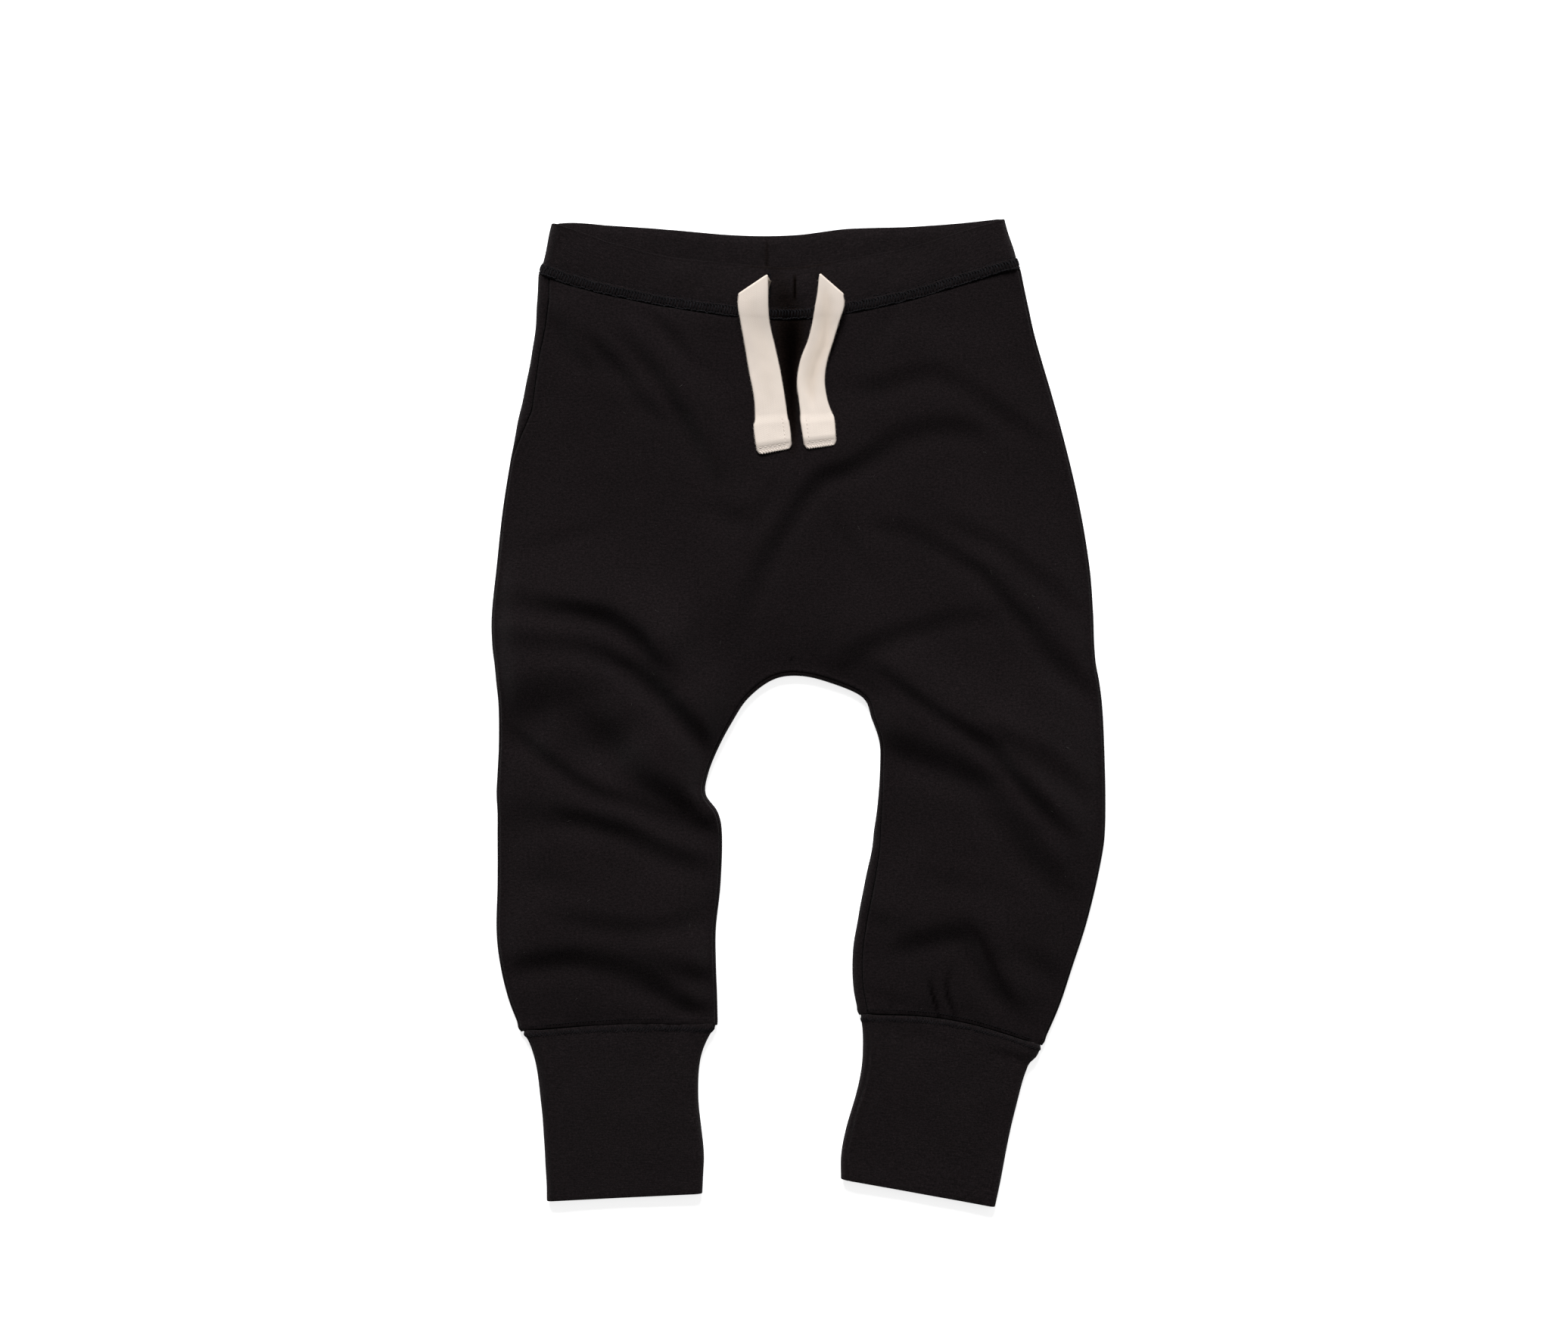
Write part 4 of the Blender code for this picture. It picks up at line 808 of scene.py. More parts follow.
def half_columns(own, other, left, back):
    """All points of one half: plan, level, flat place, height share, and length from the nearest seam."""
    rows = half_rows(own, other, left, back)
    side = "left" if left else "right"
    start = rows.out - rows.out_normal * PANEL_ROLL
    end = rows.inner - rows.inner_normal * PANEL_ROLL
    turn = smooth(0.0, ROW_TURNS_BY, np.arange(ROW_COUNT) - ARCH_ROW)[:, None]
    towards = unit(unit(start - end) * turn - rows.inner_normal * (1.0 - turn))
    body = np.arange(ROW_COUNT) < ARCH_ROW
    level_end = np.where(body[:, None], rows.inner, end + towards * (EDGE_ZONE - QUARTER))
    along = unit(level_end - start)
    level_start = start + along * (EDGE_ZONE - QUARTER)
    blocks = []
    for which, edge, normal, inwards in (("_out", rows.out, rows.out_normal, along),
                                         ("_in", rows.inner, rows.inner_normal, towards)):
        seam = seam_arc(side + which, edge[:, 1])[:, None]
        if back:
            under = np.broadcast_to(-UNDER_COLUMNS, (ROW_COUNT, len(UNDER_COLUMNS)))
            arcs = np.hstack(((seam - SEAM_SLIT) * WRAP_COLUMNS, under))
        else:
            arcs = seam + SEAM_SLIT + EDGE_COLUMNS * (1.0 - (seam + SEAM_SLIT) / EDGE_ZONE)
        blocks.append((*edge_columns(edge, normal, inwards, arcs), np.abs(arcs - seam)))
    shares = packed(np.linspace(0.0, 1.0, (BACK_COLUMNS if back else LEVEL_COLUMNS) + 2)[1:-1, None], 0.25)
    level = level_start[:, None] + (level_end - level_start)[:, None] * shares
    facing = -1.0 if back else 1.0
    middle = (level, level, level, np.full(level.shape[:2], facing), np.full(level.shape[:2], FAR))
    joined = [np.concatenate((a, b, c[:, ::-1]), axis=1) for a, b, c in zip(blocks[0], middle, blocks[1])]
    inner_start = blocks[0][0].shape[1] + len(shares)
    centre = np.vstack((rows.inner[:ARCH_ROW], level_end[ARCH_ROW]))
    for values, at_centre in zip(joined, (centre, centre, centre, facing, FAR)):
        values[:ARCH_ROW + 1, inner_start] = at_centre
    shape_rows(joined[:3], rows, start, end, back)
    return joined, inner_start


def shape_rows(plans, rows, start, end, back):
    """Bow the rows in place, and bend the upper ones to the waist's curve."""
    share = np.linalg.norm(plans[0] - start[:, None], axis=-1) / np.linalg.norm(end - start, axis=1)[:, None]
    bow = rows.bow[:, None] * np.sin(math.pi * np.clip(share, 0.0, 1.0))
    across, down = rows.inner[0] - start[0]
    for plan in plans:
        plan[..., 1] += bow
        upper = plan[:WAIST_ROWS]
        at = waist_at(upper[..., 0])
        straight = start[0, 1] + down / across * (upper[..., 0] - start[0, 0])
        dip = (at.back_seam if back else at.front_seam) - SEAM_GAP / 2 - straight
        upper[..., 1] += rows.follow[:len(upper), None] * dip


def panel(back):
    """The front's or the back's outer face: points, quads, flat places, and each point's seam distances."""
    points, cloths, seams, hems, numbers = [], [], [], [], []
    from_cuff = np.concatenate((np.full(ARCH_ROW, FAR), LEG_LENGTH - LEG_ROWS))
    total = 0
    quads = []
    for left in (True, False):
        own, other = (LEFT_SECTIONS, RIGHT_SECTIONS) if left else (RIGHT_SECTIONS, LEFT_SECTIONS)
        (plan, level, flat, share, seam), inner_start = half_columns(own, other, left, back)
        shape = share.shape
        top = front_top(level[..., 0].ravel(), level[..., 1].ravel()).reshape(shape)
        top = held_by_seam(top, from_cuff[:, None])
        z = np.where(share >= 0.0, PANEL_ROLL + (top - PANEL_ROLL) * share, PANEL_ROLL * (1.0 + share))
        number = np.arange(total, total + share.size).reshape(shape)
        number[:ARCH_ROW, inner_start + 1:] = -1
        numbers.append(number)
        if not left:
            number = number.copy()
            number[:ARCH_ROW + 1, inner_start] = numbers[0][:ARCH_ROW + 1, inner_start]
            number[ARCH_ROW, inner_start:] = numbers[0][ARCH_ROW, inner_start:]
        made = grid_quads(number)
        quads.append(made if left == back else made[:, ::-1])
        points.append(np.dstack((plan, z)).reshape(-1, 3))
        cloths.append(flat.reshape(-1, 2))
        seams.append(seam.ravel())
        hems.append(np.broadcast_to(from_cuff[:, None], shape).ravel())
        total += share.size
    points, quads = np.vstack(points), np.vstack(quads)
    used, quads = np.unique(quads, return_inverse=True)
    quads = quads.reshape(-1, 4)
    cloth = np.vstack(cloths)[used]
    cloth = np.column_stack((cloth, np.zeros(len(cloth))))
    return points[used], quads, cloth, np.concatenate(seams)[used], np.concatenate(hems)[used]


def below_waist(x, y, back):
    """Distance of points below the waist seam."""
    at = waist_at(x)
    return np.maximum((at.back_seam if back else at.front_seam) - y, 0.0)


def panel_relief(points, seam, hem, back):
    """What the sewing and the cloth's small unevenness add to a panel, outwards."""
    x, y, z = points.T
    from_waist = below_waist(x, y, back)
    relief = -0.4 * bell(seam, 0.5) + 0.12 * bell(seam - 1.2, 0.7)
    relief -= 0.25 * bell(from_waist, 0.6)
    relief -= 0.12 * bell(hem, 0.6)
    relief += 0.22 * bell(hem - 2.0, 1.6) * (1.0 + waves(x, y * 0.2, 11, 7, 2.6, 5.5))
    relief += 0.10 * waves(x, y * 0.3, 12, 8, 6.0, 15.0) * (bell(from_waist, 7.0) + bell(hem, 9.0))
    relief += 0.10 * waves(x, y, 13, 16, 14.0, 42.0) * smooth(0.0, 6.0, seam)
    if back:
        relief = np.where(z < 0.05, np.minimum(-np.abs(relief), 0.0), relief)
    return relief


def panel_shade(points, seam, hem, back):
    """Painted shade at each point: how deep it lies in the hollow, in a narrow crease and beside a seam."""
    x, y, z = points.T
    hollow = hollow_depth(x, y) / HOLLOW_FULL + crease_depth(x, y) / CREASE_FULL
    hollow = np.where(z > PANEL_ROLL, hollow, 0.0)
    seams = 0.3 * bell(seam, 0.35) + 0.22 * bell(below_waist(x, y, back), 0.5) + 0.25 * bell(hem, 0.5)
    return np.clip(hollow + seams, 0.0, 1.0)


def add_panel(name, back):
    """The front or the back as a closed shell."""
    points, quads, cloth, seam, hem = panel(back)
    normals = vertex_normals(points, quads)
    cloth[:, 2] = panel_shade(points, seam, hem, back)
    points = points + normals * panel_relief(points, seam, hem, back)[:, None]
    if back:
        points[:, 2] += back_lift(points)
        points[:, 2] = np.maximum(points[:, 2], 0.0)
    return add_wall(name, points, quads, PANEL_WALL, KNIT, cloth)


# Creases of the back, lifted a little off the surface: a line and how far each stands up.
BACK_CREASES = (
    Fold("seat_left", ((-70, 120, 0, 5), (-45, 90, 0.8, 5), (-20, 62, 0.9, 6), (-8, 40, 0, 6))),
    Fold("seat_right", ((62, 128, 0, 5), (40, 98, 0.7, 6), (20, 66, 0.9, 5), (6, 40, 0, 5))),
    Fold("thigh_left", ((-118, 30, 0, 5), (-90, 18, 0.8, 6), (-62, 0, 0.8, 5), (-46, -16, 0, 5))),
    Fold("thigh_right", ((118, 20, 0, 5), (92, 4, 0.8, 5), (64, -14, 0.8, 6), (46, -26, 0, 5))),
    Fold("knee_left", ((-116, -40, 0, 5), (-86, -50, 0.9, 6), (-58, -62, 0.8, 5), (-42, -72, 0, 5))),
    Fold("knee_right", ((116, -52, 0, 6), (90, -58, 0.8, 5), (60, -70, 0.7, 5), (40, -78, 0, 5))),
    Fold("calf_left", ((-112, -98, 0, 5), (-84, -104, 0.8, 5), (-56, -116, 0.6, 6), (-44, -122, 0, 5))),
    Fold("calf_right", ((104, -100, 0, 5), (80, -104, 0.7, 6), (54, -104, 0.8, 5), (36, -100, 0, 5))),
)


def back_lift(points):
    """How far the underside's creases stand off the surface, inside its edges."""
    x, y, z = points.T
    lifts = sum(np.maximum(fold_relief(fold, x, y), 0.0) for fold in BACK_CREASES)
    return np.where(z < 0.6, lifts * smooth(3.0, 14.0, edge_distance(x, y)), 0.0)


# ---------------------------------------------------------------- folded rings: waistband and cuffs

BAND_HEIGHT = 22.5
BAND_RIDGE = 0.25       # by which the waistband stands out over its seam allowance
END_OVERLAP = 0.5       # by which a ring's side folds are drawn over the seam
END_REACH = 3.0
BAND_SEAM_LEVELS = (0.0, 0.3, 0.6, 0.9, 1.3, 1.8, 2.4, 3.0, 3.5, 4.0, 4.4, 4.8, 5.2, 5.7)
BAND_LEVELS = graded(BAND_HEIGHT, 0.95, start=BAND_SEAM_LEVELS)
CUFF_LEVELS = (0.0, 0.3, 0.6, 0.9, 1.3, 1.8, 2.3, 2.8, 3.4)
ALLOWANCE = ((2.2, 0.9), (2.4, 0.6), (2.2, 0.4), (0.1, -0.5))   # of the seam, inside: length and depth
EDGE_THINNING = 0.4     # share of the wall that is pressed flat at the folded edge
# painted shade on a ring's folded edge, which darkens its lit rim
RIM_SHADE = 0.28
BAND_COLUMNS = 231      # of points across the front of the waistband
CUFF_COLUMNS = 85
ROUND_STEPS = 6         # facets of a folded edge
SIDE_STEPS = 12         # facets of a side fold

Ring = namedtuple("Ring", "points normals along levels")


def closed_numbers(points):
    """The number of each of a grid's points, with the first column again after the last."""
    number = np.arange(points.shape[0] * points.shape[1]).reshape(points.shape[:2])
    return np.column_stack((number, number[:, 0]))


def ring_face(front, back, roll, levels):
    """The outside of a flattened tube: front (levels, columns, 3) and back (levels, columns, 2) rows."""
    rows = []
    for front_row, back_row in zip(front, back):
        back_3d = np.column_stack((back_row, np.zeros(len(back_row))))[::-1]

        def side(end, beside):
            """Points over a side fold, from the front row's end to the back row's."""
            share = np.arange(1, SIDE_STEPS)[:, None] / SIDE_STEPS
            front_way = unit((front_row[end] - front_row[beside])[:2])
            back_way = unit(back_row[end] - back_row[beside])
            way = (front_way * (1 - share) + back_way * share) * np.sin(math.pi * share)
            plan = front_row[end][:2] * (1 - share) + back_row[end] * share + way * roll
            height = np.where(share < 0.5, front_row[end][2] - roll, roll) * np.cos(math.pi * share)
            return np.column_stack((plan, roll + height))

        rows.append(np.vstack((front_row, side(-1, -2), back_3d, side(0, 1)[::-1])))
    points = np.array(rows)
    normals = vertex_normals(points.reshape(-1, 3), grid_quads(closed_numbers(points))).reshape(points.shape)
    if normals[len(levels) // 2, front.shape[1] // 2, 2] < 0.0:
        normals = -normals
    closed = np.vstack((points[0], points[0, :1]))
    return Ring(points, normals, lengths_of(closed), np.asarray(levels))


def ring_shell(name, ring, relief, shade, inner_relief, inner_shade, wall, material, inner_every):
    """A closed double-layer ring: out, over its folded edge, and back down inside."""
    flat = ring.points + ring.normals * relief[..., None]
    up = unit(flat[-1] - flat[-3])
    walls = wall * (1.0 - EDGE_THINNING * smooth(ring.levels[-1] - 2.5, ring.levels[-1], ring.levels))
    radius = walls[-1] / 2.0
    rows = list(flat)
    for step in range(1, ROUND_STEPS):
        turn = math.pi * step / ROUND_STEPS
        in_by, up_by = radius * (1.0 - math.cos(turn)), radius * math.sin(turn)
        rows.append(flat[-1] - ring.normals[-1] * in_by + up * up_by)
    inner_levels = list(range(len(ring.levels) - 1, 0, -inner_every)) + [0]
    for level in inner_levels:
        rows.append(flat[level] - ring.normals[level] * (walls[level] - inner_relief[level][..., None]))
    down = unit(ring.points[0] - ring.points[3])
    for length, depth in ALLOWANCE:
        rows.append(flat[0] + down * length - ring.normals[0] * (wall + depth))
    heights = list(ring.levels)
    heights += [ring.levels[-1] + radius * math.pi * step / ROUND_STEPS for step in range(1, ROUND_STEPS)]
    heights += [2.0 * ring.levels[-1] + radius * math.pi - ring.levels[level] for level in inner_levels]
    heights += [2.0 * ring.levels[-1] + radius * math.pi + length for length, _ in ALLOWANCE]
    points = np.array(rows)
    points[..., 2] = np.maximum(points[..., 2], 0.0)
    number = closed_numbers(points)
    quads = grid_quads(np.vstack((number, number[:1])))
    if np.dot(vertex_normals(points.reshape(-1, 3), quads)[number[5, 9]], ring.normals[5, 9]) < 0.0:
        quads = quads[:, ::-1]
    cloth = np.zeros(points.shape)
    cloth[..., 0] = ring.along[:-1]
    cloth[..., 1] = np.array(heights)[:, None]
    cloth[:len(shade), :, 2] = shade
    first_inner = len(shade) + ROUND_STEPS - 1
    # painted shade over the rounded folded edge
    cloth[len(shade):first_inner, :, 2] = RIM_SHADE
    cloth[first_inner:first_inner + len(inner_levels), :, 2] = inner_shade[inner_levels]
    return add_mesh(name, points.reshape(-1, 3), quads.tolist(), material, cloth.reshape(-1, 3))


def on_ring(ring, along, level, off):
    """Points off the outside of a ring: along its seam, at a height from the seam, and so far out."""
    along, level, off = np.broadcast_arrays(*(np.asarray(a, float) for a in (along, level, off)))
    column = np.interp(along % ring.along[-1], ring.along, range(len(ring.along)))
    row = np.interp(level, ring.levels, range(len(ring.levels)))
    return read_grid(ring.points, row, column) + unit(read_grid(ring.normals, row, column)) * off[..., None]


def band_ring():
    """The waistband's outside."""
    share = packed(np.linspace(0.0, 1.0, BAND_COLUMNS), -0.3)
    seam_x = WAIST[0].x + BAND_ROLL + (WAIST[-1].x - WAIST[0].x - 2.0 * BAND_ROLL) * share
    at = waist_at(seam_x)
    edge_share = 1.0 - 0.5 * BAND_WALL * (1.0 - EDGE_THINNING) / BAND_HEIGHT
    front, back = [], []
    from_end = np.minimum(seam_x - seam_x[0], seam_x[-1] - seam_x)
    gap = SEAM_GAP / 2 - END_OVERLAP * bell(from_end, END_REACH)
    for level in BAND_LEVELS / BAND_HEIGHT * edge_share:
        x = seam_x + at.lean * level
        y = at.front_seam + gap + (at.front_top - at.front_seam - gap) * level
        back_y = at.back_seam + gap + (at.back_top - at.back_seam - gap) * level
        front.append(np.column_stack((x, y, band_top(seam_x, level, at))))
        back.append(np.column_stack((x, back_y))[::2])
    return ring_face(np.array(front), np.array(back), BAND_ROLL, BAND_LEVELS)


PLEAT_X = -1.5          # the short pleat in the waistband's front, between the drawcord's holes
BACK_JOIN_X = -13.6     # where the waistband's strip is joined, at the back
JOIN_SHADE = 1.1        # painted shade of that join, for each millimetre of its depth


def places_on(ring):
    """x, y, z and the height from the seam of a ring's points."""
    x, y, z = np.moveaxis(ring.points, -1, 0)
    return x, y, z, np.broadcast_to(ring.levels[:, None], x.shape)


def band_relief(ring):
    """The seam's ridge, the pleat between the holes and small puckers, outwards."""
    x, y, z, v = places_on(ring)
    on_front = ring.normals[..., 2] > 0.5
    relief = -0.3 * bell(v, 0.36) + BAND_RIDGE * smooth(0.1, 0.9, v) * (1.0 - smooth(4.2, 5.2, v))
    relief -= 0.08 * bell(v - NEEDLE_UP, 0.35)
    relief += 0.07 * waves(x, y * 0.3, 21, 8, 5.0, 13.0) * bell(v - 5.0, 6.0)
    relief += 0.2 * waves(x, y, 22, 12, 14.0, 45.0) * smooth(0.0, 5.0, v)
    pleat = smooth(174.0, 176.5, y) * (1.0 - smooth(182.0, 185.0, y))
    puffs = bell(x - PLEAT_X - 4.2, 2.8) + bell(x - PLEAT_X + 4.2, 2.8)
    relief += np.where(on_front, pleat * (0.5 * puffs - 0.75 * bell(x - PLEAT_X, 0.7)), 0.0)
    relief -= np.where(on_front, hollow_depth(x, y), 0.0)
    for slit in SLITS:
        relief -= np.where(on_front, 0.5 * slit_shape(slit, x, y), 0.0)
    return np.where(z < 0.05, -np.abs(relief) - BAND_RIDGE * bell(v - 2.4, 2.4), relief)


def band_shade(ring):
    """Painted shade on the band's points: in the hollow, among the seam's stitches, in the pleat and at the
    folded edge.
    """
    x, y, _, v = places_on(ring)
    on_front = ring.normals[..., 2] > 0.5
    pleat = 0.8 * bell(x - PLEAT_X, 0.6) * smooth(173.0, 176.0, y) * (1.0 - smooth(182.0, 186.0, y))
    hollow = np.where(on_front, hollow_depth(x, y) / HOLLOW_FULL + pleat, 0.0)
    stitches = 0.05 * smooth(0.3, 0.9, v) * (1.0 - smooth(3.3, 3.9, v)) + 0.2 * bell(v, 0.3)
    rim = RIM_SHADE * smooth(BAND_HEIGHT - 0.9, BAND_HEIGHT - 0.2, v)
    return np.clip(hollow + stitches + 0.05 * bell(v - NEEDLE_UP, 0.3) + rim, 0.0, 1.0)


def cuff_shade(ring):
    """Painted shade on a cuff's points: in its seam and among the stitches."""
    v = places_on(ring)[3]
    return 0.12 * bell(v, 0.4) + 0.12 * smooth(0.2, 0.5, v) * (1.0 - smooth(1.7, 2.3, v))


def band_inner_relief(ring):
    """The join in the band's strip, seen on the inside of its back."""
    x, y, z, _ = places_on(ring)
    join = 0.45 * bell(x - BACK_JOIN_X, 0.6) - 0.2 * bell(x - BACK_JOIN_X - 1.6, 0.9)
    join *= 1.0 - smooth(198.0, 200.0, y)
    return np.where(z < 0.05, join, 0.0)


CUFF_OVERLAP = 0.3      # by which a cuff's cut edge is drawn up to the leg's


def cuff_ring(table):
    """A cuff's outside, from the leg's seam to its hem."""
    edges = [tuple(c) for c in table]
    height = abs(table[-1].left_y - table[0].left_y)
    levels = graded(height, 1.7, start=CUFF_LEVELS)
    edge_share = 1.0 - 0.5 * CUFF_WALL * (1.0 - EDGE_THINNING) / height
    t = at_shares(edges, 0, len(edges) - 1, levels / height * edge_share)
    rows = spline(edges, t)
    rows[0, [1, 3]] += CUFF_OVERLAP
    across = packed(np.linspace(0.0, 1.0, CUFF_COLUMNS), 0.3)
    front, back = [], []
    for row, level in zip(rows, levels / height):
        left, right, bow = row[0:2], row[2:4], row[4]
        way = unit(right - left)
        start, end = left + way * CUFF_ROLL, right - way * CUFF_ROLL
        plan = start + (end - start) * across[:, None]
        plan[:, 1] += bow * np.sin(math.pi * across)
        side = np.minimum(across, 1.0 - across) * np.linalg.norm(end - start)
        plan[:, 1] += END_OVERLAP * bell(side, END_REACH) * (level == 0.0)
        top = CUFF_TOP + CUFF_BULGE * math.sin(math.pi * min(level, 0.98))
        top = top + (2.0 * CUFF_ROLL - top) * bell(side, SIDE_FOLD_REACH)
        front.append(np.column_stack((plan, top)))
        back.append(plan[::2])
    return ring_face(np.array(front), np.array(back), CUFF_ROLL, levels)


# The right cuff's side seam, which has come round to its front.
CUFF_SIDE_SEAM = ((28.6, -129.5), (29.6, -136.0), (29.9, -141.6), (29.4, -149.0), (28.2, -155.7),
                  (24.0, -169.0), (20.5, -185.0), (21.3, -196.5), (21.6, -199.0))


# Short folds of the right cuff, near its seam.
CUFF_FOLDS = (
    Fold("outer", ((77, -141, 0, 2.6), (87, -143.5, 1, 2.6), (96, -146, 0.9, 2.6), (104, -148, 0, 2.6))),
    Fold("inner", ((38, -133, 0, 4), (48, -134, 0.5, 4), (58, -136.5, 0.5, 4), (68, -139, 0, 4))),
)


def cuff_relief(ring, seed, side_seam):
    """The seam's edge, the side seam where it shows, and the cuff's slight unevenness."""
    x, y, z, v = places_on(ring)
    relief = -0.12 * bell(v, 0.4) + 0.08 * smooth(0.2, 0.8, v) * (1.0 - smooth(1.8, 2.8, v))
    relief += 0.09 * waves(x, y * 0.25, seed, 8, 4.0, 11.0) * bell(v, 7.0)
    relief += 0.11 * waves(x, y, seed + 1, 12, 13.0, 36.0)
    if side_seam:
        relief += sum(fold_relief(f, x.ravel(), y.ravel()) for f in CUFF_FOLDS).reshape(x.shape)
        line = spline(CUFF_SIDE_SEAM, np.linspace(0, len(CUFF_SIDE_SEAM) - 1, 50))
        off = nearest_on(line, x.ravel(), y.ravel())[0].reshape(x.shape)
        on_front = ring.normals[..., 2] > 0.3
        relief += np.where(on_front, 0.28 * bell(off - 1.3, 1.0) - 0.55 * bell(off, 0.5), 0.0)
    return np.where(z < 0.05, -np.abs(relief), relief)


# ---------------------------------------------------------------- stitches

COVER_PITCH = 1.3       # between the stitches that hold the waistband's seam
CUFF_PITCH = 1.25
THREAD_RADIUS = 0.34

# One repeat of a cover stitch: threads as (along, height, off) points, in shares of the pitch and in
# millimetres. The bars and loops go under the cloth at their ends.
COVER_STITCH = (
    ((0.16, 0.8, -0.12), (0.18, 1.6, 0.14), (0.22, 2.5, 0.18), (0.27, 3.4, 0.14), (0.34, 4.1, -0.05)),
    ((0.34, 4.0, -0.02), (0.55, 4.35, 0.10), (0.78, 4.2, 0.12), (0.93, 3.7, 0.06), (1.05, 3.0, -0.10)),
    ((0.02, 0.8, 0.02), (0.25, 0.42, 0.16), (0.52, 0.32, 0.18), (0.80, 0.42, 0.16), (1.02, 0.8, 0.02)),
)
NEEDLE_UP = 5.3         # from the waistband's seam up to its needle stitches
NEEDLE_STITCH = ((0.12, NEEDLE_UP, -0.14), (0.26, NEEDLE_UP, 0.04), (0.45, NEEDLE_UP, 0.07),
                 (0.64, NEEDLE_UP, 0.04), (0.78, NEEDLE_UP, -0.14))
CUFF_STITCH = (
    ((0.10, 0.35, -0.10), (0.14, 0.8, 0.16), (0.22, 1.3, 0.20), (0.30, 1.8, 0.14), (0.36, 2.1, -0.10)),
    ((0.36, 2.0, -0.06), (0.55, 2.2, 0.12), (0.75, 2.1, 0.12), (0.95, 1.5, 0.06), (1.05, 0.9, -0.12)),
)


def stitches_round(ring, relief, repeat, pitch, seed):
    """A repeat's threads, all the way round a ring."""
    draw = np.random.default_rng(seed)
    count = round(ring.along[-1] / pitch)
    pitch = ring.along[-1] / count
    starts = (np.arange(count) + draw.uniform(-0.12, 0.12, count)) * pitch
    raised = Ring(ring.points + ring.normals * relief[..., None], ring.normals, ring.along, ring.levels)
    paths = []
    for one in repeat:
        along, level, off = np.array(one).T
        level = level + draw.uniform(-0.32, 0.32, (count, 1))
        off = off + draw.uniform(-0.1, 0.05, (count, 1))
        paths.append(on_ring(raised, starts[:, None] + along * pitch, level, off))
    paths = np.concatenate(paths)
    paths[..., 2] = np.maximum(paths[..., 2], THREAD_RADIUS + 0.02)
    return paths


def dashes_along(line, pitch, share, sink, seed):
    """Short threads along a line of points on cloth: each goes in at its ends."""
    draw = np.random.default_rng(seed)
    length = lengths_of(line)
    count = int(length[-1] / pitch)
    middles = (np.arange(count) + 0.5 + draw.uniform(-0.08, 0.08, count)) * pitch
    places = middles[:, None] + np.linspace(-0.5, 0.5, 5) * share * pitch
    paths = np.stack([np.interp(places, length, line[:, k]) for k in range(3)], axis=-1)
    paths[..., 2] += np.array([-sink, 0.02, 0.07, 0.02, -sink])
    return paths


def leg_seam_line(left, offset):
    """Points on the front, offset above a cuff's seam, from edge to edge."""
    table = LEFT_CUFF if left else RIGHT_CUFF
    first = table[0]
    across = np.linspace(0.0, 1.0, 120)
    start = np.array([first.left_x, first.left_y]) + np.array([2.2, offset])
    end = np.array([first.right_x, first.right_y]) + np.array([-2.2, offset])
    plan = start + (end - start) * across[:, None]
    plan[:, 1] += first.bow * np.sin(math.pi * across)
    hem = np.full(len(plan), offset)
    top = held_by_seam(front_top(plan[:, 0], plan[:, 1]), hem)
    relief = panel_relief(np.column_stack((plan, top)), np.full(len(plan), FAR), hem, False)
    return np.column_stack((plan, top + relief))


# ---------------------------------------------------------------- drawcord

# A free end of the drawcord from top to bottom: both edges. It comes out of its hole under itself,
# folds over at the fold line and runs down to a tab that is turned over and stitched.
TapeRow = namedtuple("TapeRow", "left_x left_y right_x right_y")
TapeEnd = namedtuple("TapeEnd", "rows fold_a fold_b slit_a slit_b tab trough lift reach")

LEFT_TAPE = TapeEnd(
    rows=(
        TapeRow(-24.9, 186.0, -12.9, 186.0), TapeRow(-25.2, 177.0, -12.7, 176.6),
        TapeRow(-25.5, 171.0, -12.6, 170.3), TapeRow(-24.4, 164.5, -12.0, 163.8),
        TapeRow(-22.6, 154.5, -9.9, 154.5), TapeRow(-20.8, 143.6, -7.6, 144.0),
        TapeRow(-18.8, 133.0, -5.8, 133.5), TapeRow(-18.3, 124.0, -4.6, 125.0),
        TapeRow(-18.9, 120.6, -3.9, 122.2), TapeRow(-18.3, 115.0, -3.2, 117.0),
        TapeRow(-17.3, 108.7, -2.8, 111.4),
    ),
    fold_a=(-25.4, 175.6), fold_b=(-12.6, 184.2), slit_a=(-12.9, 176.2), slit_b=(-12.5, 182.8),
    tab=14.5, trough=0.25, lift=2.0, reach=34.0,
)
RIGHT_TAPE = TapeEnd(
    rows=(
        TapeRow(8.9, 186.0, 18.9, 186.0), TapeRow(8.0, 177.0, 18.9, 176.6),
        TapeRow(7.0, 171.2, 19.3, 171.2), TapeRow(5.9, 164.5, 17.2, 164.5),
        TapeRow(4.0, 157.0, 14.7, 156.5), TapeRow(0.8, 148.5, 12.1, 148.0),
        TapeRow(-0.6, 139.5, 11.1, 140.0), TapeRow(0.2, 131.4, 12.1, 132.4),
        TapeRow(0.8, 126.4, 13.7, 127.4), TapeRow(0.9, 122.4, 15.2, 123.6),
        TapeRow(2.7, 111.0, 16.0, 112.8),
    ),
    fold_a=(9.0, 184.2), fold_b=(19.2, 175.3), slit_a=(9.5, 183.2), slit_b=(9.3, 176.2),
    tab=13.0, trough=1.0, lift=2.4, reach=46.0,
)

Slit = namedtuple("Slit", "x low high")
SLITS = (Slit(-12.7, 175.8, 184.6), Slit(8.9, 175.8, 184.4))


def slit_shape(slit, x, y):
    """1 inside a buttonhole's stitched border, and 0 outside it."""
    middle, half = (slit.low + slit.high) / 2, (slit.high - slit.low) / 2
    beyond = np.maximum(np.abs(y - middle) - half, 0.0)
    return bell(np.hypot(x - slit.x, beyond), 1.1)


# The trough along a tape: its middle, from the left edge, and its half width, from the tab upwards.
TROUGH_LINE = ((5.8, 6.3, 8.0, 4.0), (1.6, 2.8, 4.4, 2.4))

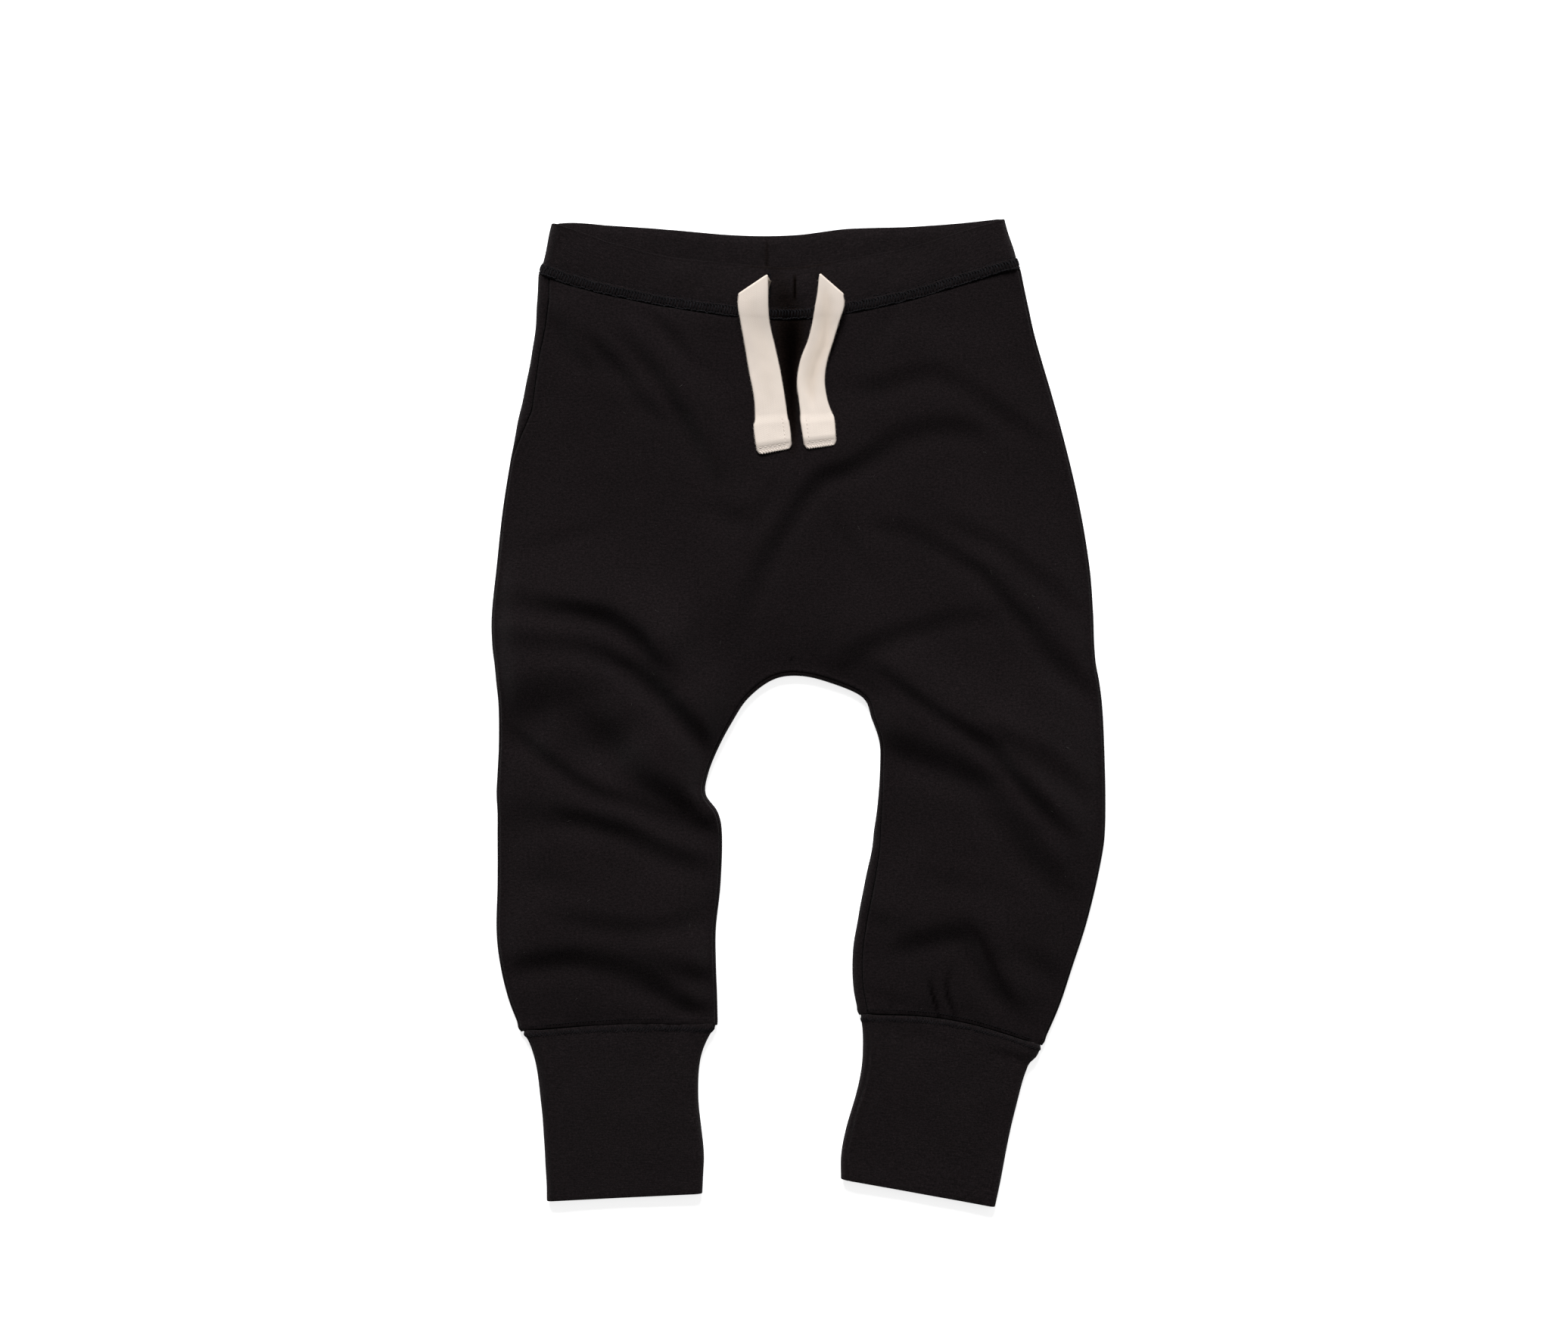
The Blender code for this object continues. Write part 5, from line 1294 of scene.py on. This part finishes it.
TAPE_COLUMNS = 34
TAPE_STEP = 0.22        # between rows of a tape
TAPE_WIDE = 12.6        # width of the tape, flat
CORNER_LENGTH = 1.8     # of a tab's rounded corners, and the share of the width they take
CORNER_SHARE = 0.14
LIFT_FROM = 5.0         # from the fold down, where the tape starts to come down to the cloth
LAY_GAP = 0.15          # between the tape and the cloth under it
TAB_RISE = 0.45         # by which a tab is thicker
TAB_STITCH_IN = 2.2     # from the tab's side edge to its stitch line
TAB_STITCH_UP = 2.4     # from its lower edge to its stitch line
PRESSED = 1.15          # by which the tab's end is thinner
FOLD_ROUND = 0.75       # radius of the tape's fold


def tape_strip(tape):
    """A tape's points before it gets its height: plan, place along and across, and layer."""
    fine = np.linspace(0, len(tape.rows) - 1, 60 * (len(tape.rows) - 1) + 1)
    edges = spline(tape.rows, fine)[::-1]
    across = np.linspace(0.0, 1.0, TAPE_COLUMNS + 1)
    plan = edges[:, None, 0:2] + (edges[:, 2:4] - edges[:, 0:2])[:, None] * across[:, None]
    middle = plan[:, TAPE_COLUMNS // 2]
    along = lengths_of(middle)
    a, b = np.array(tape.fold_a), np.array(tape.fold_b)
    way = unit(b - a)
    over = np.array([-way[1], way[0]])
    past = (plan - a) @ over
    ends = np.array([np.interp(0.0, past[:, c], along) for c in range(len(across))])
    straight_to = ends.min() - 3.0
    low = np.linspace(0.0, straight_to, round(straight_to / TAPE_STEP), endpoint=False)
    steps = max(4, round((ends.max() - straight_to) / TAPE_STEP))
    high = straight_to + (ends - straight_to) * (np.arange(steps + 1) / steps)[:, None]
    places = np.vstack((np.repeat(low[:, None], len(across), 1), high))
    main = [[np.interp(places[:, c], along, plan[:, c, k]) for c in range(len(across))] for k in (0, 1)]
    main = np.moveaxis(np.array(main), (0, 1, 2), (2, 1, 0))
    corner = np.maximum(1.0 - places / CORNER_LENGTH, 0.0)[..., None] ** 2
    main = main - (main - main[:, TAPE_COLUMNS // 2][:, None]) * CORNER_SHARE * corner
    return main, places, across * TAPE_WIDE, over


def smooth_rows(values, reach):
    """A row of numbers, evened out over a few rows."""
    kernel = bell(np.arange(-3 * reach, 3 * reach + 1), reach)
    padded = np.pad(values, 3 * reach, mode="edge")
    return np.convolve(padded, kernel / kernel.sum(), mode="valid")


def tape_heights(tape, main, places):
    """The height of a tape's face over the cloth, and by how much the tape is thicker there."""
    sample = main[:, ::6]
    cloth = cloth_top(sample[..., 0].ravel(), sample[..., 1].ravel()).reshape(sample.shape[:2]).max(1)
    lay = np.maximum(smooth_rows(cloth, 22), smooth_rows(cloth, 8)) + LAY_GAP
    top = places[-1]
    raised = 1.0 - smooth(LIFT_FROM, tape.reach, top - places + 0.25 * (top - top.min()))
    tab = TAB_RISE * (1.0 - smooth(tape.tab - 3.0, tape.tab + 1.6, places))
    press = PRESSED * (1.0 - smooth(0.0, 5.0, places))
    return lay[:, None] + TAPE_WALL + tape.lift * raised + tab - press, tab - 0.8 * press


def tape_course(tape):
    """A tape's face up to its fold, over it, and back under itself to its hole.

    Gives its points, their places across and along it, where the fold starts, and the added thickness."""
    main, places, u, over = tape_strip(tape)
    z, thicker = tape_heights(tape, main, places)
    hinge_z = z[-1] - FOLD_ROUND
    turns = np.linspace(0.0, math.pi, 8)[1:-1, None]
    fold_plan = main[-1] + over * (FOLD_ROUND * np.sin(turns))[..., None]
    fold_z = hinge_z + FOLD_ROUND * np.cos(turns)
    fold_s = places[-1] + FOLD_ROUND * turns
    a, b = np.array(tape.slit_a), np.array(tape.slit_b)
    slit = a + (b - a) * np.linspace(0.0, 1.0, len(u))[:, None]
    runs = np.linspace(0.0, 1.0, 30)[:, None]
    under_plan = main[-1] + (slit - main[-1]) * runs[..., None]
    under_z = hinge_z - FOLD_ROUND - (tape.lift + 1.2) * smooth(0.6, 1.0, runs)
    steps = np.linalg.norm(np.diff(under_plan, axis=0), axis=-1)
    under_s = fold_s[-1] + np.vstack((np.zeros(len(u)), np.cumsum(steps, axis=0))) + 0.3
    points = np.dstack((np.concatenate((main, fold_plan, under_plan)), np.vstack((z, fold_z, under_z))))
    return points, u, np.vstack((places, fold_s, under_s)), places[-1], thicker


def tape_relief(tape, u, s, fold_from, on_main):
    """What a tape's weave, its trough and its stitching add to it, outwards, and its painted shade."""
    wave = CHEVRON_WIDE - np.abs(u % (2 * CHEVRON_WIDE) - CHEVRON_WIDE)
    wobble = 0.16 * np.sin(0.9 * s + 1.3 * u) + 0.12 * np.sin(2.3 * s - 0.7 * u)
    relief = 0.012 * np.sin(math.pi * (s + wave + wobble) / CHEVRON_PITCH) ** 2
    from_side = np.minimum(u, TAPE_WIDE - u)
    where = smooth(14.0, 24.0, s) * (1.0 - smooth(62.0, 72.0, s)) * on_main
    centre, half = (np.interp(s, (18.0, 28.0, 43.0, 66.0), column) for column in TROUGH_LINE)
    trough = tape.trough * where * bell(u - centre, half)
    relief = relief - 0.34 * bell(from_side, 0.4) - 0.55 * trough - tab_stitch_depth(u, s, tape, on_main)
    # painted shade in the trough, on the under layer past the fold and along the edges
    shade = trough * np.interp(s, (16.0, 30.0, 46.0, 68.0), (0.2, 0.55, 0.6, 0.4))
    shade = shade + np.where(on_main, 0.0, smooth(0.0, 2.5, s - fold_from)) + 0.15 * bell(from_side, 0.5)
    return relief, np.clip(shade, 0.0, 1.0)


def add_tape(name, tape):
    """A free end of the drawcord. Gives the piece, its face up to the fold, and its centre line."""
    points, u, s, fold_from, thicker = tape_course(tape)
    main_rows = len(thicker)
    number = np.arange(s.size).reshape(s.shape)
    quads = grid_quads(number)
    normals = vertex_normals(points.reshape(-1, 3), quads)
    if normals[number[main_rows // 2, 5], 2] < 0.0:
        quads, normals = quads[:, ::-1], -normals
    u = np.broadcast_to(u, s.shape)
    on_main = np.arange(len(s))[:, None] < main_rows
    relief, shade = tape_relief(tape, u, s, fold_from, on_main)
    points = points + normals.reshape(points.shape) * relief[..., None]
    thick = TAPE_WALL - 0.5 * bell(np.minimum(u, TAPE_WIDE - u), 0.4)
    thick[:main_rows] += thicker
    cloth = np.dstack((u, s, shade)).reshape(-1, 3)
    built = add_wall(name, points.reshape(-1, 3), quads, thick.ravel(), TAPE, cloth)
    centre_line = points[::-1, TAPE_COLUMNS // 2] - np.array([0.0, 0.0, TAPE_WALL / 2])
    return built, points[:main_rows], centre_line


def tab_line(tape):
    """Place across the tape of its tab's upright stitch line, which is on the side of the body's centre."""
    return TAPE_WIDE - TAB_STITCH_IN if tape is LEFT_TAPE else TAB_STITCH_IN


def tab_stitch_depth(u, s, tape, on_main):
    """How far a tab's stitch lines pull it in."""
    side = bell(u - tab_line(tape), 0.4) * (s > TAB_STITCH_UP) * (s < tape.tab - 0.5)
    low = bell(s - TAB_STITCH_UP, 0.4) * (u > 1.0) * (u < 11.6)
    return 0.1 * np.maximum(side, low) * on_main


def tape_stitches(tape, face):
    """The tab's dashes, and the overlocked threads round its lower edge."""
    across = np.linspace(0.0, TAPE_WIDE, face.shape[1])
    rows = np.arange(face.shape[0]) * TAPE_STEP

    def at(u, s, off):
        """Points over the tape's face, from places across and along it."""
        row, column = np.interp(s, rows, range(len(rows))), np.interp(u, across, range(len(across)))
        found = read_grid(face, row, column)
        found[..., 2] += off
        return found

    arch = np.array([-0.05, 0.03, 0.06, 0.03, -0.05])
    dash = 1.2 * np.linspace(-0.5, 0.5, 5)
    line = np.full(5, tab_line(tape))
    paths = [at(line, middle + dash, arch) for middle in np.arange(TAB_STITCH_UP + 1.0, tape.tab - 0.8, 1.7)]
    line = np.full(5, TAB_STITCH_UP)
    paths += [at(middle + dash, line, arch) for middle in np.arange(1.6, 11.2, 1.7)]
    down = unit(face[0].mean(0) - face[8].mean(0)) * np.array([0.0, 0.0, 0.0, 0.12, 0.05])[:, None]
    over = np.array([1.3, 0.8, 0.3, 0.0, 0.0])
    sink = np.array([-0.15, 0.03, 0.02, -0.2, -0.7])
    lean = np.array([0.0, 0.12, 0.25, 0.35, 0.4])
    loops = [at(middle + lean, over, sink) + down for middle in np.arange(0.8, TAPE_WIDE - 0.8, 1.1)]
    return np.array(paths), np.array(loops)


def fuzz_on(face, count, length, seed):
    """Loose fibres that stand out from a tape's edges and face."""
    draw = np.random.default_rng(seed)
    rows, columns = face.shape[:2]
    paths = []
    for _ in range(count):
        r = int(draw.integers(4, rows - 4))
        edge = draw.random() < 0.75
        c = int(draw.choice((0, columns - 1))) if edge else int(draw.integers(2, columns - 2))
        root = face[r, c] - np.array([0.0, 0.0, 0.45 if edge else 0.0])
        out = unit(face[r, c] - face[r, columns - 1 - c]) if edge else unit(draw.normal(0, 1, 3))
        way = unit(out * (1.0 if edge else 0.5) + draw.normal(0, 0.55, 3))
        way[2] = abs(way[2]) * 0.8 if not edge else way[2] * 0.6
        curl = draw.normal(0, 0.5, 3)
        size = draw.uniform(*length)
        share = np.linspace(0.0, 1.0, 4)[:, None]
        paths.append(root + size * (way * share + curl * share ** 2 * 0.5))
    return np.array(paths)


def lint_on_front(count, seed):
    """Stray light fibres lying on the black cloth."""
    draw = np.random.default_rng(seed)
    paths = []
    while len(paths) < count:
        x, y = draw.uniform(-120, 120), draw.uniform(-125, 160)
        if abs(x) < 40 and y < 25 or edge_distance(np.array([x]), np.array([y]))[0] < 6.0:
            continue
        if not -112 < x < 95 and y > 120:
            continue
        angle = draw.uniform(0, 2 * math.pi)
        size = draw.uniform(0.7, 2.2)
        share = np.linspace(-0.5, 0.5, 6)
        bend = draw.uniform(-0.5, 0.5)
        px = x + size * (share * math.cos(angle) - bend * share ** 2 * math.sin(angle))
        py = y + size * (share * math.sin(angle) + bend * share ** 2 * math.cos(angle))
        paths.append(np.column_stack((px, py, front_top(px, py) + 0.14)))
    return np.array(paths)


def buttonhole(slit):
    """The black thread sewn round a hole: short bars across its border."""
    half, middle = (slit.high - slit.low) / 2, (slit.high + slit.low) / 2
    bars = [(y, side, 0.0) for side in (-1.0, 1.0) for y in np.arange(slit.low, slit.high, 0.42)]
    bars += [(middle + end * half, math.cos(turn), end * math.sin(turn))
             for end in (-1.0, 1.0) for turn in np.linspace(0.15, math.pi - 0.15, 7)]
    from_y, way_x, way_y = np.array(bars).T[..., None]
    reach = np.linspace(0.3, 1.0, 5)
    x, y = slit.x + way_x * reach, from_y + way_y * reach
    at = waist_at(x)
    top = band_top(x, (y - at.front_seam) / (at.front_top - at.front_seam), at)
    return np.stack((x, y, top + np.array([-0.25, 0.1, 0.16, 0.1, -0.2])), axis=-1)


# ---------------------------------------------------------------- the garment

def dress(piece, slot_name, *nodes):
    """Tie a piece to the frame."""
    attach(piece, "root")
    if nodes:
        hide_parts(*nodes)
    return piece


def sew(name, paths, radius, material, slot_name, **shape):
    """Threads or fibres, tied to the frame."""
    return dress(add_threads(name, paths, radius, material, **shape), slot_name)


NEEDLE_RADIUS = 0.15
LADDER_RADIUS = 0.17    # of the cuffs' cover stitch
BAR_RADIUS = 0.19       # of the buttonholes' bars
OVERLOCK_RADIUS = 0.26
FUZZ_RADIUS = 0.017
LINT_RADIUS = 0.035
DASHES_UP = 2.5         # from a cuff's seam up to the leg's line of dashes

front = dress(add_panel("front_shell", False), "knit", "front_panel")
back = dress(add_panel("back_shell", True), "knit", "back_panel")

band = band_ring()
band_out = band_relief(band)
band_inside = band_inner_relief(band)
waistband = dress(ring_shell("waistband_shell", band, band_out, band_shade(band), band_inside,
                             JOIN_SHADE * np.maximum(band_inside, 0.0), BAND_WALL, BAND_KNIT, 2),
                  "band_knit", "waistband")
cover = stitches_round(band, band_out, COVER_STITCH, COVER_PITCH, 31)
needle = stitches_round(band, band_out, (NEEDLE_STITCH,), COVER_PITCH, 32)
band_sewing = [sew("waistband_cover_stitch", cover, THREAD_RADIUS, THREAD, "knit", sides=5),
               sew("waistband_needle_stitch", needle, NEEDLE_RADIUS, THREAD, "knit", sides=5)]

cuffs = {}
for side, table, seed in (("left", LEFT_CUFF, 41), ("right", RIGHT_CUFF, 51)):
    ring = cuff_ring(table)
    relief = cuff_relief(ring, seed, side == "right")
    flat_inside = np.zeros(relief.shape)
    shell = ring_shell(f"cuff_{side}_shell", ring, relief, cuff_shade(ring), flat_inside, flat_inside,
                       CUFF_WALL, BAND_KNIT, 3)
    dress(shell, "band_knit", f"cuff_{side}")
    below = stitches_round(ring, relief, CUFF_STITCH, CUFF_PITCH, seed + 2)
    above = dashes_along(leg_seam_line(side == "left", DASHES_UP), CUFF_PITCH, 0.62, 0.12, seed + 3)
    cuffs[side] = (shell, [sew(f"cuff_{side}_cover_stitch", below, LADDER_RADIUS, THREAD, "knit", sides=5),
                           sew(f"leg_{side}_needle_stitch", above, NEEDLE_RADIUS, THREAD, "knit", sides=5)])

tapes = []
for side, tape, seed in (("left", LEFT_TAPE, 61), ("right", RIGHT_TAPE, 71)):
    piece, face, line = add_tape(f"drawcord_{side}_tape", tape)
    dress(piece, "tape", f"drawcord_{side}")
    dashes, loops = tape_stitches(tape, face)
    fuzz = fuzz_on(face, 1700, (0.15, 0.42), seed)
    tapes.append((piece, line, [
        sew(f"drawcord_{side}_tab_stitch", dashes, NEEDLE_RADIUS, TAPE_THREAD, "tape"),
        sew(f"drawcord_{side}_end_overlock", loops, OVERLOCK_RADIUS, TAPE_THREAD, "tape"),
        sew(f"drawcord_{side}_fuzz", fuzz, FUZZ_RADIUS, TAPE_THREAD, "tape", sides=3, taper=0.5)]))

for slit, side in zip(SLITS, ("left", "right")):
    sew(f"buttonhole_{side}_stitch", buttonhole(slit), BAR_RADIUS, THREAD, "knit", sides=5)
sew("lint_fibres", lint_on_front(46, 81), LINT_RADIUS, LINT, "knit", sides=3)

# ---------------------------------------------------------------- the cuffs' pieces and the tapes' lines, read back and left unused

for side, height in (("left", 0.072), ("right", 0.071)):
    shell, sewing = cuffs[side]
for piece, line, others in tapes:
    route = line[::8] * MM

# ---------------------------------------------------------------- floor, light and camera

PIXEL = 0.32                    # millimetres of the object to one pixel of the photograph
PICTURE = (2072, 1776)
ORIGIN_PIXEL = (1055.0, 941.5)  # where the frame's origin is in the photograph
CAMERA_HEIGHT = 2.0             # in metres, as are the floor's and the lights' sizes
FLOOR_REACH = 3.0
FLOOR_Z = -0.0002               # a little under the garment's underside
FLOOR_WHITE = (0.92, 0.92, 0.92)


def add_floor():
    """A plain pale floor under the garment."""
    corners = [(x * FLOOR_REACH, y * FLOOR_REACH, FLOOR_Z) for x, y in ((-1, -1), (1, -1), (1, 1), (-1, 1))]
    mesh = bpy.data.meshes.new("floor")
    mesh.from_pydata(corners, [], [(0, 1, 2, 3)])
    g = Graph("floor_white")
    light = g.spread(g.noise(g.place(), 3.0, 2.0), 0.3, 0.7, 0.995, 1.005)
    g.fill(g.shader, ("Base Color", g.tint(FLOOR_WHITE, light)), ("Roughness", 0.95),
           ("Specular IOR Level", 0.1), ("Emission Color", (1.0, 1.0, 1.0, 1.0)), ("Emission Strength", 0.75))
    mesh.materials.append(g.material)
    add_object("floor", mesh)


def add_light(name, azimuth, elevation, distance, size, power):
    """A soft square light that looks at the garment. azimuth is counted from the waist's side to the left."""
    lamp = bpy.data.lights.new(name, "AREA")
    lamp.shape = "SQUARE"
    lamp.size = size
    lamp.energy = power
    built = add_object(name, lamp)
    a, e = math.radians(azimuth), math.radians(elevation)
    built.location = (-distance * math.cos(e) * math.sin(a), distance * math.cos(e) * math.cos(a),
                      distance * math.sin(e))
    built.rotation_euler = (-built.location).to_track_quat("-Z", "Y").to_euler()


def add_camera():
    """A camera straight above, that frames the garment as the photograph does."""
    lens = bpy.data.cameras.new("camera")
    lens.sensor_width = 36.0
    lens.lens = lens.sensor_width * CAMERA_HEIGHT / (PICTURE[0] * PIXEL * MM)
    lens.clip_end = 20.0
    camera = add_object("camera", lens)
    camera.location = ((PICTURE[0] / 2 - ORIGIN_PIXEL[0]) * PIXEL * MM,
                       (ORIGIN_PIXEL[1] - PICTURE[1] / 2) * PIXEL * MM, CAMERA_HEIGHT)
    bpy.context.scene.camera = camera


add_floor()
add_light("key", 6.0, 36.0, 5.0, 2.2, 342.0)
add_light("fill", -75.0, 55.0, 3.0, 2.2, 8.0)
world = bpy.data.worlds.new("room")
world.use_nodes = True
world.node_tree.nodes["Background"].inputs[0].default_value = (1.0, 1.0, 1.0, 1.0)
world.node_tree.nodes["Background"].inputs[1].default_value = 0.13
bpy.context.scene.world = world
bpy.context.scene.view_settings.view_transform = "Standard"
add_camera()
